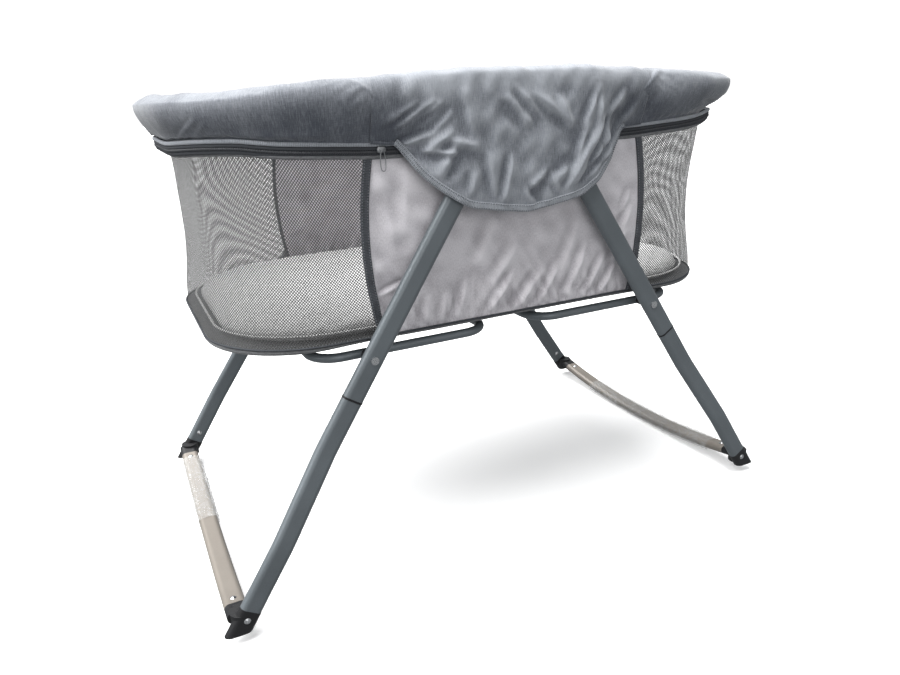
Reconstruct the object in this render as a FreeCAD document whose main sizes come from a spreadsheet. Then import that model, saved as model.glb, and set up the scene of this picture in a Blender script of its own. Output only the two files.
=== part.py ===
import os
from math import asin, cos, degrees, radians, sin

import FreeCAD
import Part
import Sketcher
from FreeCAD import Placement, Rotation, Vector

# Rocking bassinet on a folding A-frame, millimetres.
# X is the long axis, -Y the front, Z up, the floor at Z = 0 under the rockers' lowest line.
# Everything is drawn for the front right quarter and mirrored to the other three.

DIMENSIONS = {
    # hub, where the four legs and the two halves of the top rail are hinged
    "hub_height": 662,
    "hub_radius": 32,
    "hub_span": 40,
    "hub_inner_face": 236,
    "hub_inner_thick": 4,
    "hub_outer_face": 276.5,
    "hub_outer_thick": 2,
    "hub_core_width": 22,
    "hub_core_height": 55,
    "button_radius": 7,
    "button_length": 10.6,
    "button_gap": 0.4,
    "button_travel": 2.5,
    # flat oval legs
    "leg_angle": 33.4,
    "leg_offset": 267.5,
    "leg_pivot_reach": 27,
    "leg_pivot_height": 660,
    "leg_wide": 30,
    "leg_thick": 15,
    "tube_wall": 1.2,
    "leg_pin_radius": 3.5,
    "upper_leg_length": 430,
    "lower_leg_end": 738,
    "leg_splay": 15.5,
    "splay_start": 509,
    "splay_end": 641,
    "splay_bend": 150,
    "spigot_rise": 50,
    "spigot_gap": 0.3,
    "running_gap": 0.05,
    # black ring in each leg's plug joint, nearly flush with the tube
    "ring_proud": 0.4,
    "ring_tall": 2.6,
    "ring_gap": 0.4,
    # rockers and their corner feet
    "rocker_reach": 449,
    "rocker_radius": 1500,
    "rocker_half_span": 249,
    "rocker_plug_from": 225,
    "foot_sole": 14,
    "foot_join": 276,
    "foot_drop": 45,
    "foot_plug": 30,
    "foot_web_tall": 22,
    "foot_web_lift": 6,
    "foot_web_back": 4,
    "plug_gap": 0.1,
    "foot_proud": 0.5,
    "screw_head_radius": 4.5,
    "screw_seat": 0.1,
    "screw_head_rise": 2,
    "leg_screw_up": 18,
    "foot_screw_down": 13,
    "rocker_screw_in": 14,
    # padded top rail
    "rail_height": 680,
    "rail_half_length": 422.5,
    "rail_half_width": 250.5,
    "rail_corner": 170,
    "rail_radius": 8,
    "rail_pin_reach": 38,
    "rail_pin_radius": 3,
    "rail_tongue_thick": 10,
    "rail_tube_start": 66,
    "rail_plug_depth": 26,
    "cover_start": 75,
    "cover_top": 699.5,
    "cover_gap": 0.6,
    # base support loops
    "loop_screw_along": 371.3,
    "loop_radius": 6.5,
    "loop_height": 349,
    "loop_inner_reach": 40,
    "loop_outer_reach": 300,
    "loop_half_width": 234.5,
    "loop_corner": 38,
    "loop_screw_radius": 3,
    "spacer_radius": 7,
    "spacer_gap": 0.5,
    "shank_depth": 2,
    "loop_head_extra": 1,
    # fabric body
    "wall_bottom": 370,
    "wall_top": 621,
    "wall_thick": 1.6,
    "wall_top_length": 430,
    "wall_top_width": 247,
    "wall_top_corner": 165,
    "wall_base_length": 420,
    "wall_base_width": 243,
    "wall_base_corner": 145,
    "panel_half_length": 212,
    "zip_low": 605.5,
    "zip_high": 620.5,
    "zip_thick": 3,
    "zip_gap": 0.1,
    "wall_seam": 1,
    "base_plate_low": 356,
    "base_plate_length": 360,
    "base_plate_width": 205,
    "base_plate_corner": 115,
    "base_tray_low": 364.5,
    "base_tray_high": 369.7,
    "base_overhang": 2,
    "mattress_low": 370.5,
    "mattress_high": 405,
    "mattress_length": 407,
    "mattress_width": 237,
    "mattress_corner": 148,
    "mattress_fillet": 9,
    # flap over each hub
    "flap_face": 279,
    "flap_thick": 3,
    "flap_half_width": 172,
    "flap_low": 522,
    "flap_neck": 614,
    "flap_top": 655,
    "bridge_half_length": 70,
    "bridge_inner": 231,
    "bridge_skin": 2,
    "bridge_drop": 30,
    # zip slider and its pull
    "slider_reach": 193,
    "slider_length": 12,
    "slider_depth": 4,
    "slider_tall": 9,
    "pull_wide": 8,
    "pull_thick": 1.4,
    "pull_long": 26,
    "slider_gap": 0.5,
    "slider_lift": 3.5,
    "pull_gap": 0.4,
    "pull_hang": 7.5,
}

doc = FreeCAD.newDocument("bassinet")
sheet = doc.addObject("Spreadsheet::Sheet", "Sizes")
for row, (alias, value) in enumerate(DIMENSIONS.items(), start=1):
    sheet.set(f"A{row}", alias)
    sheet.set(f"B{row}", str(value))
    sheet.setAlias(f"B{row}", alias)
doc.recompute()

nodes = []


def size(alias):
    """Value of one cell of the sheet."""
    return float(getattr(sheet, alias))


def cells(expression):
    """Expression in which every known word is a cell of the sheet."""
    words = []
    for word in expression.split():
        words.append(f"Sizes.{word}" if word in DIMENSIONS else word)
    return " ".join(words)


def bind(item, **expressions):
    """Bind properties to expressions; x, y and z are the place of the object."""
    for name, expression in expressions.items():
        target = f"Placement.Base.{name}" if name in ("x", "y", "z") else name
        item.setExpression(target, cells(expression))
    return item


def keep(item, label):
    """Make an object one of the sub-parts."""
    item.Label = label
    nodes.append(item)
    return item


def make(kind, name):
    return doc.addObject(kind, name)


def box(name, **expressions):
    return bind(make("Part::Box", name), **expressions)


def cylinder_along_y(name, **expressions):
    """Cylinder whose axis points along +Y from its own place."""
    item = make("Part::Cylinder", name)
    item.Placement = Placement(Vector(), Rotation(Vector(1, 0, 0), -90))
    return bind(item, **expressions)


def fuse(name, items):
    item = make("Part::MultiFuse", name)
    item.Shapes = items
    return item


def cut(name, base, tool):
    item = make("Part::Cut", name)
    item.Base = base
    item.Tool = tool
    return item


def common(name, first, second):
    item = make("Part::MultiCommon", name)
    item.Shapes = [first, second]
    return item


def group(name, items):
    item = make("Part::Compound", name)
    item.Links = items
    return item


def mirrored(name, source, axis):
    item = make("Part::Mirroring", name)
    item.Source = source
    item.Normal = axis
    return item


SIDE = Vector(1, 0, 0)
DEPTH = Vector(0, 1, 0)


def front_and_rear(item, name):
    """Keep a front piece and its mirror image at the rear."""
    keep(item, f"front_{name}")
    rear = mirrored(f"rear_{name}_image", item, DEPTH)
    return item, keep(rear, f"rear_{name}")


def right_and_left(item, name):
    """Keep a right hand piece and its mirror image on the left."""
    keep(item, f"right_{name}")
    left = mirrored(f"left_{name}_image", item, SIDE)
    return item, keep(left, f"left_{name}")


def all_four(item, name):
    """Keep a piece of the front right quarter and its three mirror images."""
    keep(item, f"front_right_{name}")
    rear = mirrored(f"rear_right_{name}_image", item, DEPTH)
    keep(rear, f"rear_right_{name}")
    keep(mirrored(f"front_left_{name}_image", item, SIDE), f"front_left_{name}")
    keep(mirrored(f"rear_left_{name}_image", rear, SIDE), f"rear_left_{name}")
    return item, rear


def bound_constraint(sketch, constraint, name, expression):
    index = sketch.addConstraint(constraint)
    sketch.renameConstraint(index, name)
    sketch.setExpression(f"Constraints.{name}", cells(expression))


def draw_slot(sketch, tag, wide, thick):
    """Flat oval centred on the sketch: wide and thick are expressions."""
    radius = 4.0
    half = 8.0
    flat = Vector(0, 0, 1)
    right = Part.Circle(Vector(half, 0, 0), flat, radius)
    left = Part.Circle(Vector(-half, 0, 0), flat, radius)
    lines = [
        Part.LineSegment(Vector(-half, radius, 0), Vector(half, radius, 0)),
        Part.ArcOfCircle(right, radians(-90), radians(90)),
        Part.LineSegment(Vector(half, -radius, 0), Vector(-half, -radius, 0)),
        Part.ArcOfCircle(left, radians(90), radians(270)),
    ]
    top, right_end, bottom, left_end = sketch.addGeometry(lines, False)
    for line, line_end, arc, arc_end in (
        (top, 2, right_end, 2),
        (bottom, 1, right_end, 1),
        (bottom, 2, left_end, 2),
        (top, 1, left_end, 1),
    ):
        sketch.addConstraint(Sketcher.Constraint("Tangent", line, line_end, arc, arc_end))
    sketch.addConstraint(Sketcher.Constraint("Horizontal", top))
    sketch.addConstraint(Sketcher.Constraint("Equal", right_end, left_end))
    sketch.addConstraint(Sketcher.Constraint("Symmetric", right_end, 3, left_end, 3, -1, 1))
    end_radius = Sketcher.Constraint("Radius", right_end, radius)
    bound_constraint(sketch, end_radius, f"{tag}_radius", f"( {thick} ) / 2")
    spread = Sketcher.Constraint("DistanceX", left_end, 3, right_end, 3, 2 * half)
    bound_constraint(sketch, spread, f"{tag}_spread", f"( {wide} ) - ( {thick} )")


def draw_circle(sketch, tag, radius, right="0", up="0"):
    """Circle at a place given by expressions."""
    circle = Part.Circle(Vector(1, 1, 0), Vector(0, 0, 1), 1.0)
    ring = sketch.addGeometry(circle, False)
    bound_constraint(sketch, Sketcher.Constraint("Radius", ring, 1.0), f"{tag}_radius", radius)
    across = Sketcher.Constraint("DistanceX", -1, 1, ring, 3, 1.0)
    bound_constraint(sketch, across, f"{tag}_across", right)
    above = Sketcher.Constraint("DistanceY", -1, 1, ring, 3, 1.0)
    bound_constraint(sketch, above, f"{tag}_above", up)


def plane_of(body, role):
    return next(item for item in body.Origin.OriginFeatures if item.Role == role)


def sketch_in(body, name, role):
    sketch = body.newObject("Sketcher::SketchObject", name)
    sketch.AttachmentSupport = [(plane_of(body, role), "")]
    sketch.MapMode = "FlatFace"
    return sketch


def pad(body, name, sketch, length, reverse=False, both=False):
    feature = body.newObject("PartDesign::Pad", name)
    feature.Profile = sketch
    feature.setExpression("Length", cells(length))
    feature.Reversed = reverse
    feature.Midplane = both
    return feature


def pocket(body, name, sketch, length, reverse=False, both=False):
    feature = body.newObject("PartDesign::Pocket", name)
    feature.Profile = sketch
    feature.setExpression("Length", cells(length))
    feature.Reversed = reverse
    feature.Midplane = both
    return feature


def rounded_rectangle(half_length, half_width, corner, height):
    """Closed wire of a rectangle with round corners, level at a height."""
    x, y, r = half_length, half_width, corner
    edges = []
    for turn in range(4):
        a, b = (x, y) if turn % 2 == 0 else (y, x)
        spin = Rotation(Vector(0, 0, 1), 90 * turn)
        diagonal = r * (1 - cos(radians(45)))
        points = [
            Vector(a, r - b, height),
            Vector(a, b - r, height),
            Vector(a - diagonal, b - diagonal, height),
            Vector(a - r, b, height),
        ]
        start, stop, middle, finish = [spin.multVec(point) for point in points]
        edges.append(Part.LineSegment(start, stop).toShape())
        edges.append(Part.Arc(stop, middle, finish).toShape())
    return Part.Wire(edges)


def wire_object(name, wire):
    item = make("Part::Feature", name)
    item.Shape = wire
    return item


def bent_path(points, radius):
    """Open wire of straight runs joined by tangent arcs of one radius."""
    edges = []
    start = points[0]
    for corner, after in zip(points[1:-1], points[2:]):
        inward = (corner - start).normalize()
        outward = (after - corner).normalize()
        turn = inward.getAngle(outward)
        setback = radius * sin(turn / 2) / cos(turn / 2)
        bisector = (outward - inward).normalize()
        reach = radius / cos(turn / 2) - radius
        first = corner - inward * setback
        last = corner + outward * setback
        edges.append(Part.LineSegment(start, first).toShape())
        edges.append(Part.Arc(first, corner + bisector * reach, last).toShape())
        start = last
    edges.append(Part.LineSegment(start, points[-1]).toShape())
    return Part.Wire(edges)


def sweep(name, section, path):
    item = make("Part::Sweep", name)
    item.Sections = [section]
    item.Spine = (path, [f"Edge{n + 1}" for n in range(len(path.Shape.Edges))])
    item.Solid = True
    return item


def loft(name, wires):
    item = make("Part::Loft", name)
    item.Sections = [wire_object(f"{name}_edge_{n}", wire) for n, wire in enumerate(wires)]
    item.Solid = True
    item.Ruled = True
    return item


def ring_section(name, radius, start, along):
    """Circle of a round tube, standing square to its path at the start."""
    item = make("Part::Circle", name)
    item.Placement = Placement(start, Rotation(Vector(0, 0, 1), along))
    item.setExpression("Radius", cells(radius))
    return item


def round_tube(name, path, start, along, radius):
    """Hollow round tube along a path: radius is an expression."""
    outer = sweep(f"{name}_outside", ring_section(f"{name}_ring", radius, start, along), path)
    bore = f"{radius} - tube_wall"
    inner = sweep(f"{name}_inside", ring_section(f"{name}_bore", bore, start, along), path)
    return cut(f"{name}_tube", outer, inner)


# ---------------------------------------------------------------- hubs


def hub_plate(name, face, thick, with_button):
    """Flat oval cover with four pin holes and, on the outer one, the button's hole."""
    body = make("PartDesign::Body", name)
    outline = sketch_in(body, f"{name}_outline", "XZ_Plane")
    draw_slot(outline, "plate", "hub_span + 2 * hub_radius", "2 * hub_radius")
    pad(body, f"{name}_pad", outline, thick)
    doc.recompute()
    holes = sketch_in(body, f"{name}_holes", "XZ_Plane")
    lift = "leg_pivot_height - hub_height"
    rail_lift = "rail_height - hub_height"
    for side, sign in (("right", ""), ("left", "-1 * ")):
        draw_circle(holes, f"leg_{side}", "leg_pin_radius", f"{sign}leg_pivot_reach", lift)
        draw_circle(holes, f"rail_{side}", "rail_pin_radius", f"{sign}rail_pin_reach", rail_lift)
    if with_button:
        draw_circle(holes, "button", "button_radius + button_gap")
    pocket(body, f"{name}_pocket", holes, f"3 * ( {thick} )", both=True)
    bind(body, y=f"-1 * ( {face} )", z="hub_height")
    return body


inner_plate = hub_plate("hub_inner_plate", "hub_inner_face", "hub_inner_thick", False)
outer_plate = hub_plate("hub_outer_plate", "hub_outer_face", "hub_outer_thick", True)
front_and_rear(inner_plate, "hub_inner_cover")
front_and_rear(outer_plate, "hub_outer_cover")

core_depth = "hub_outer_face - hub_inner_face - hub_inner_thick"
core_block = box(
    "hub_core_block",
    Length="hub_core_width",
    Width=core_depth,
    Height="hub_core_height",
    x="-0.5 * hub_core_width",
    y="-1 * hub_outer_face",
    z="hub_height - hub_core_height / 2",
)
button_well = cylinder_along_y(
    "button_well",
    Radius="button_radius + button_gap",
    Height="button_length + 2 * button_travel",
    y="-1 * hub_outer_face",
    z="hub_height",
)
front_and_rear(cut("hub_core_cut", core_block, button_well), "hub_core")

button = cylinder_along_y(
    "release_button",
    Radius="button_radius",
    Height="button_length",
    y="-1 * ( hub_outer_face + hub_outer_thick )",
    z="hub_height",
)
front_and_rear(button, "release_button")


def hub_pins(name, radius, reach, height):
    """Four pins through both hub plates, front and rear, left and right."""
    pins = []
    for side, sign in (("right", ""), ("left", "-1 * ")):
        pin = cylinder_along_y(
            f"{name}_{side}",
            Radius=radius,
            Height="hub_outer_face + hub_outer_thick - hub_inner_face",
            x=f"{sign}{reach}",
            y="-1 * ( hub_outer_face + hub_outer_thick )",
            z=height,
        )
        pins += [pin, mirrored(f"{name}_{side}_rear", pin, DEPTH)]
    return keep(group(f"{name}_group", pins), name)


hub_pins("leg_pins", "leg_pin_radius", "leg_pivot_reach", "leg_pivot_height")
hub_pins("rail_pins", "rail_pin_radius", "rail_pin_reach", "rail_height")


# ---------------------------------------------------------------- legs


def on_leg(item, expressions_y="-1 * leg_offset"):
    """Place a piece drawn about the hub pivot, its own -Z running down the leg."""
    item.Placement = Placement(Vector(), Rotation(Vector(0, 1, 0), -size("leg_angle")))
    return bind(item, x="leg_pivot_reach", y=expressions_y, z="leg_pivot_height")


def upper_leg():
    """Flat oval tube with a round solid head on the hub pin."""
    body = make("PartDesign::Body", "upper_leg_body")
    outline = sketch_in(body, "upper_leg_outline", "XY_Plane")
    draw_slot(outline, "tube", "leg_wide", "leg_thick")
    pad(body, "upper_leg_pad", outline, "upper_leg_length", reverse=True)
    head = sketch_in(body, "upper_leg_head", "XZ_Plane")
    draw_circle(head, "head", "leg_wide / 2")
    pad(body, "upper_leg_head_pad", head, "leg_thick", both=True)
    doc.recompute()
    bore = sketch_in(body, "upper_leg_bore", "XY_Plane")
    draw_slot(bore, "bore", "leg_wide - 2 * tube_wall", "leg_thick - 2 * tube_wall")
    bore.setExpression("AttachmentOffset.Base.z", cells("-1 * upper_leg_length"))
    pocket(body, "upper_leg_hollow", bore, "upper_leg_length - leg_wide", reverse=True)
    doc.recompute()
    holes = sketch_in(body, "upper_leg_holes", "XZ_Plane")
    draw_circle(holes, "pin", "leg_pin_radius + running_gap")
    draw_circle(holes, "screw", "loop_screw_radius", "0", "-1 * loop_screw_along")
    pocket(body, "upper_leg_hole_pocket", holes, "2 * leg_thick", both=True)
    return on_leg(body)


def joint_ring():
    """Black ring under the upper leg's end, on which the lower leg stops."""
    body = make("PartDesign::Body", "joint_ring_body")
    outline = sketch_in(body, "joint_ring_outline", "XY_Plane")
    draw_slot(outline, "skin", "leg_wide + 2 * ring_proud", "leg_thick + 2 * ring_proud")
    draw_slot(outline, "bore", "leg_wide - 2 * tube_wall", "leg_thick - 2 * tube_wall")
    outline.setExpression("AttachmentOffset.Base.z", cells("-1 * upper_leg_length"))
    pad(body, "joint_ring_pad", outline, "ring_tall", reverse=True)
    return on_leg(body)


def section_sketch(name, wide, thick):
    """Free flat oval sketch."""
    sketch = make("Sketcher::SketchObject", name)
    draw_slot(sketch, "oval", wide, thick)
    return sketch


def lower_leg():
    """Flat oval tube with a gentle outward set and a spigot for the upper leg."""
    top = -size("upper_leg_length") - size("ring_tall") - size("ring_gap")
    route = [
        Vector(0, 0, top),
        Vector(0, 0, -size("splay_start")),
        Vector(0, -size("leg_splay"), -size("splay_end")),
        Vector(0, -size("leg_splay"), -size("lower_leg_end")),
    ]
    path = wire_object("lower_leg_route", bent_path(route, size("splay_bend")))
    shells = []
    for name, shrink in (("outside", "0"), ("inside", "2 * tube_wall")):
        wide, thick = f"leg_wide - ( {shrink} )", f"leg_thick - ( {shrink} )"
        section = section_sketch(f"lower_leg_{name}", wide, thick)
        section.Placement.Base = route[0]
        shells.append(sweep(f"lower_leg_{name}_sweep", section, path))
    tube = cut("lower_leg_tube", *shells)
    spigots = []
    for name, shrink in (
        ("skin", "2 * tube_wall + 2 * spigot_gap"),
        ("bore", "4 * tube_wall + 2 * spigot_gap"),
    ):
        wide, thick = f"leg_wide - ( {shrink} )", f"leg_thick - ( {shrink} )"
        section = section_sketch(f"spigot_{name}", wide, thick)
        spigot = make("Part::Extrusion", f"spigot_{name}_solid")
        spigot.Base = section
        spigot.DirMode = "Custom"
        spigot.Dir = Vector(0, 0, 1)
        spigot.Solid = True
        bind(spigot, LengthFwd="2 * spigot_rise", z="-1 * upper_leg_length - spigot_rise")
        spigots.append(spigot)
    spigot = cut("spigot_tube", *spigots)
    swage = make("Part::Extrusion", "swage_solid")
    swage.Base = section_sketch("swage_section", "leg_wide - tube_wall", "leg_thick - tube_wall")
    swage.DirMode = "Custom"
    swage.Dir = Vector(0, 0, 1)
    swage.Solid = True
    neck = "-1 * upper_leg_length - ring_tall - ring_gap"
    bind(swage, LengthFwd="spigot_rise / 5", z=f"{neck} - spigot_rise / 5")
    joined = fuse("lower_leg_joined", [tube, spigot, swage])
    return on_leg(joined)


all_four(upper_leg(), "upper_leg")
all_four(joint_ring(), "joint_ring")
all_four(lower_leg(), "lower_leg")


# ---------------------------------------------------------------- rockers and feet


def rocker_tube(name, wide, thick, half_angle, middle_angle=0.0):
    """Flat oval bar bent to the rocker's arc about a line high above the floor."""
    section = section_sketch(f"{name}_section", wide, thick)
    section.Placement = Placement(Vector(), Rotation(Vector(1, 0, 0), 90))
    bind(section, x="rocker_reach", z="leg_thick / 2")
    item = make("Part::Revolution", f"{name}_arc")
    item.Source = section
    item.Axis = SIDE
    item.Symmetric = True
    item.Solid = True
    item.Angle = 2 * half_angle
    item.setExpression("Base.z", cells("rocker_radius"))
    centre = Vector(0, 0, size("rocker_radius"))
    item.Placement = Placement(Vector(), Rotation(SIDE, middle_angle), centre)
    return item


def rocker_angle(span):
    """Turn of the rocker's arc that reaches a distance from the middle."""
    return degrees(asin(span / (size("rocker_radius") - size("leg_thick") / 2)))


rocker_end = rocker_angle(size("rocker_half_span"))
rocker_skin = rocker_tube("rocker_skin", "leg_wide", "leg_thick", rocker_end)
rocker_bore = rocker_tube(
    "rocker_bore",
    "leg_wide - 2 * tube_wall",
    "leg_thick - 2 * tube_wall",
    rocker_end + 1,
)
right_and_left(cut("rocker_hollow", rocker_skin, rocker_bore), "rocker")


def leg_prism(name, wide, thick, start, long):
    """Flat oval bar on the splayed leg's line, from a distance down it."""
    bar = make("Part::Extrusion", name)
    bar.Base = section_sketch(f"{name}_section", wide, thick)
    bar.DirMode = "Custom"
    bar.Dir = Vector(0, 0, -1)
    bar.Solid = True
    bar.setExpression("LengthFwd", cells(long))
    bar.Placement = Placement(Vector(), Rotation(Vector(0, 1, 0), -size("leg_angle")))
    sine = f"sin( {size('leg_angle')} deg )"
    cosine = f"cos( {size('leg_angle')} deg )"
    return bind(
        bar,
        x=f"leg_pivot_reach + ( {start} ) * {sine}",
        y="-1 * leg_offset - leg_splay",
        z=f"leg_pivot_height - ( {start} ) * {cosine}",
    )


def rocker_piece(name, wide, thick, near, far):
    """Stretch of a flat oval bar on the rocker's arc, on its front half."""
    low, high = rocker_angle(size(near)), rocker_angle(size(far))
    return rocker_tube(name, wide, thick, (high - low) / 2, -(high + low) / 2)


def foot():
    """Corner connector, flush with the leg and the rocker, plugged into both."""
    boot_wide = "leg_wide + 2 * foot_proud"
    boot_thick = "leg_thick + 2 * foot_proud"
    shin = leg_prism("foot_shin", boot_wide, boot_thick, "lower_leg_end", "2 * foot_drop")
    floor_box = box(
        "foot_floor",
        Length="4 * foot_drop",
        Width="4 * foot_drop",
        Height="2 * foot_drop",
        x="rocker_reach - 2 * foot_drop",
        y="-1 * leg_offset - 2 * foot_drop",
        z="foot_sole - 2 * foot_drop",
    )
    boot = cut("foot_boot", shin, floor_box)
    hollow_wide = "leg_wide - 2 * tube_wall - 2 * plug_gap"
    hollow_thick = "leg_thick - 2 * tube_wall - 2 * plug_gap"
    leg_plug = leg_prism(
        "foot_leg_plug", hollow_wide, hollow_thick, "lower_leg_end - foot_plug", "foot_plug + foot_drop / 2"
    )
    stub = rocker_piece("foot_stub", "leg_wide", "leg_thick", "rocker_half_span", "foot_join")
    rocker_plug = rocker_piece(
        "foot_rocker_plug", hollow_wide, hollow_thick, "rocker_plug_from", "foot_join"
    )
    web = make("Part::Cylinder", "foot_web")
    bind(
        web,
        Radius="leg_thick",
        Height="foot_web_tall",
        x="rocker_reach - foot_web_back",
        y="-1 * foot_join",
        z="foot_sole + foot_web_lift",
    )
    return fuse("foot_casting", [boot, leg_plug, stub, rocker_plug, web])


all_four(foot(), "foot")


def foot_screws():
    """Domed heads: on the leg's inner face, on the foot's outer face and on the rocker."""
    lean = radians(size("leg_angle"))
    middle = size("leg_offset") + size("leg_splay")
    half = size("leg_thick") / 2
    reach = size("leg_pivot_reach")
    height = size("leg_pivot_height")
    end = size("lower_leg_end")

    def on_leg_line(along, face):
        return Vector(reach + along * sin(lean), -face, height - along * cos(lean))

    radius = size("screw_head_radius")
    rise = size("screw_head_rise")
    cap = (radius * radius + rise * rise) / (2 * rise)
    turn = radians(rocker_angle(size("rocker_half_span") - size("rocker_screw_in")))
    inner_radius = size("rocker_radius") - size("leg_thick")
    above = size("rocker_radius") - inner_radius * cos(turn)
    rocker_top = Vector(size("rocker_reach"), -inner_radius * sin(turn), above + size("screw_seat"))
    places = (
        (on_leg_line(end - size("leg_screw_up"), middle - half), DEPTH),
        (on_leg_line(end + size("foot_screw_down"), middle + half + size("foot_proud")), -DEPTH),
        (rocker_top, Vector(0, sin(turn), cos(turn))),
    )
    heads = []
    for n, (place, outward) in enumerate(places):
        head = make("Part::Sphere", f"screw_dome_{n}")
        head.Radius = cap
        head.Angle1 = degrees(asin((cap - rise) / cap))
        turned = Rotation(Vector(0, 0, 1), outward)
        head.Placement = Placement(place - outward * (cap - rise), turned)
        heads += [head, mirrored(f"screw_dome_{n}_rear", head, DEPTH)]
    return group("foot_screw_heads", heads)


right_and_left(foot_screws(), "foot_screws")


# ---------------------------------------------------------------- top rail


def rail_route(start):
    """Half of the rail's outline, from near the front hub round to the rear one."""
    half, wide, corner = size("rail_half_length"), size("rail_half_width"), size("rail_corner")
    z = size("rail_height")
    route = [Vector(start, -wide, z), Vector(half, -wide, z), Vector(half, wide, z), Vector(start, wide, z)]
    return bent_path(route, corner)


rail_start = Vector(size("rail_tube_start"), -size("rail_half_width"), size("rail_height"))
rail_path = wire_object("rail_route", rail_route(size("rail_tube_start")))
rail = round_tube("rail", rail_path, rail_start, SIDE, "rail_radius")
right_and_left(rail, "top_rail")


def rail_tongue():
    """Plastic plug in the rail's end with a flat eye on the hub's rail pin."""
    plug = make("Part::Cylinder", "rail_plug")
    plug.Placement = Placement(Vector(), Rotation(Vector(0, 1, 0), 90))
    bind(
        plug,
        Radius="rail_radius - tube_wall",
        Height="rail_plug_depth",
        x="rail_tube_start",
        y="-1 * rail_half_width",
        z="rail_height",
    )
    blade = box(
        "rail_blade",
        Length="rail_tube_start - rail_pin_reach",
        Width="rail_tongue_thick",
        Height="2 * rail_radius",
        x="rail_pin_reach",
        y="-1 * rail_half_width - rail_tongue_thick / 2",
        z="rail_height - rail_radius",
    )
    eye = cylinder_along_y(
        "rail_eye",
        Radius="rail_radius",
        Height="rail_tongue_thick",
        x="rail_pin_reach",
        y="-1 * rail_half_width - rail_tongue_thick / 2",
        z="rail_height",
    )
    hole = cylinder_along_y(
        "rail_eye_hole",
        Radius="rail_pin_radius + running_gap",
        Height="2 * rail_tongue_thick",
        x="rail_pin_reach",
        y="-1 * rail_half_width - rail_tongue_thick",
        z="rail_height",
    )
    return cut("rail_tongue_front", fuse("rail_tongue_blank", [plug, blade, eye]), hole)


tongue = rail_tongue()
tongues = group("rail_tongue_pair", [tongue, mirrored("rail_tongue_rear", tongue, DEPTH)])
right_and_left(tongues, "rail_end_plugs")


def rim_cover():
    """Padded cover round half the rail: a wedge that narrows down to the zip."""
    start = size("cover_start")
    wide = size("rail_half_width")
    rise = size("rail_height")
    low = size("wall_top")
    top = size("cover_top")
    outline = [
        (-4.5, low),
        (2, low),
        (16, rise - 27),
        (23.5, rise - 6),
        (19, top - 5),
        (0, top),
        (-12, top - 7),
        (-14, rise - 6),
    ]
    points = [Vector(start, -wide - outward, z) for outward, z in outline]
    profile = wire_object("rim_cover_section", Part.makePolygon(points + points[:1]))
    path = wire_object("rim_cover_route", rail_route(start))
    skin = sweep("rim_cover_solid", profile, path)
    begin = Vector(start, -wide, rise)
    ring = ring_section("rim_channel_ring", "rail_radius + cover_gap", begin, SIDE)
    return cut("rim_cover_hollow", skin, sweep("rim_channel", ring, path))


right_and_left(rim_cover(), "rim_cover")


# ---------------------------------------------------------------- base support loops


def support_loop():
    """Closed round tube loop with a cross hole on each side for its pivot screws."""
    near, far = size("loop_inner_reach"), size("loop_outer_reach")
    wide, z = size("loop_half_width"), size("loop_height")
    outline = rounded_rectangle((far - near) / 2, wide, size("loop_corner"), z)
    outline.translate(Vector((far + near) / 2, 0, 0))
    path = wire_object("loop_route", outline)
    start = path.Shape.Edges[0].Vertexes[0].Point
    tube = round_tube("loop", path, start, DEPTH, "loop_radius")
    sine = f"sin( {size('leg_angle')} deg )"
    cosine = f"cos( {size('leg_angle')} deg )"
    hole = cylinder_along_y(
        "loop_cross_hole",
        Radius="loop_screw_radius + running_gap",
        Height="2 * leg_offset",
        x=f"leg_pivot_reach + loop_screw_along * {sine}",
        y="-1 * leg_offset",
        z=f"leg_pivot_height - loop_screw_along * {cosine}",
    )
    return cut("loop_drilled", tube, hole)


right_and_left(support_loop(), "support_loop")


def pivot_cylinder(name, radius, near, far):
    """Cylinder on the loop's pivot axis between two distances from the middle."""
    sine = f"sin( {size('leg_angle')} deg )"
    cosine = f"cos( {size('leg_angle')} deg )"
    return cylinder_along_y(
        name,
        Radius=radius,
        Height=f"( {far} ) - ( {near} )",
        x=f"leg_pivot_reach + loop_screw_along * {sine}",
        y=f"-1 * ( {far} )",
        z=f"leg_pivot_height - loop_screw_along * {cosine}",
    )


def pair(name, item):
    return group(f"{name}_pair", [item, mirrored(f"{name}_rear", item, DEPTH)])


leg_skin = "leg_offset + leg_thick / 2"
shank_end = "loop_half_width - loop_radius - shank_depth"
head_radius = "screw_head_radius + loop_head_extra"
shank = pivot_cylinder("loop_shank", "loop_screw_radius", shank_end, leg_skin)
head = pivot_cylinder("loop_head", head_radius, leg_skin, f"{leg_skin} + screw_head_rise")
screw = fuse("loop_screw_solid", [shank, head])
right_and_left(pair("loop_screw", screw), "loop_screws")

spacer_skin = pivot_cylinder(
    "spacer_skin",
    "spacer_radius",
    "loop_half_width + loop_radius + spacer_gap",
    "leg_offset - leg_thick / 2",
)
spacer_bore = pivot_cylinder("spacer_bore", "loop_screw_radius", "loop_half_width", "leg_offset")
right_and_left(pair("loop_spacer", cut("spacer_ring", spacer_skin, spacer_bore)), "loop_spacers")


# ---------------------------------------------------------------- fabric body


def wall_outline(height, grow):
    """Outline of the fabric wall at a height, grown outward."""
    low, high = size("wall_bottom"), size("wall_top")
    share = (height - low) / (high - low)

    def between(base, top):
        return size(base) + share * (size(top) - size(base)) + grow

    length = between("wall_base_length", "wall_top_length")
    width = between("wall_base_width", "wall_top_width")
    corner = between("wall_base_corner", "wall_top_corner")
    return rounded_rectangle(length, width, corner, height)


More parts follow.
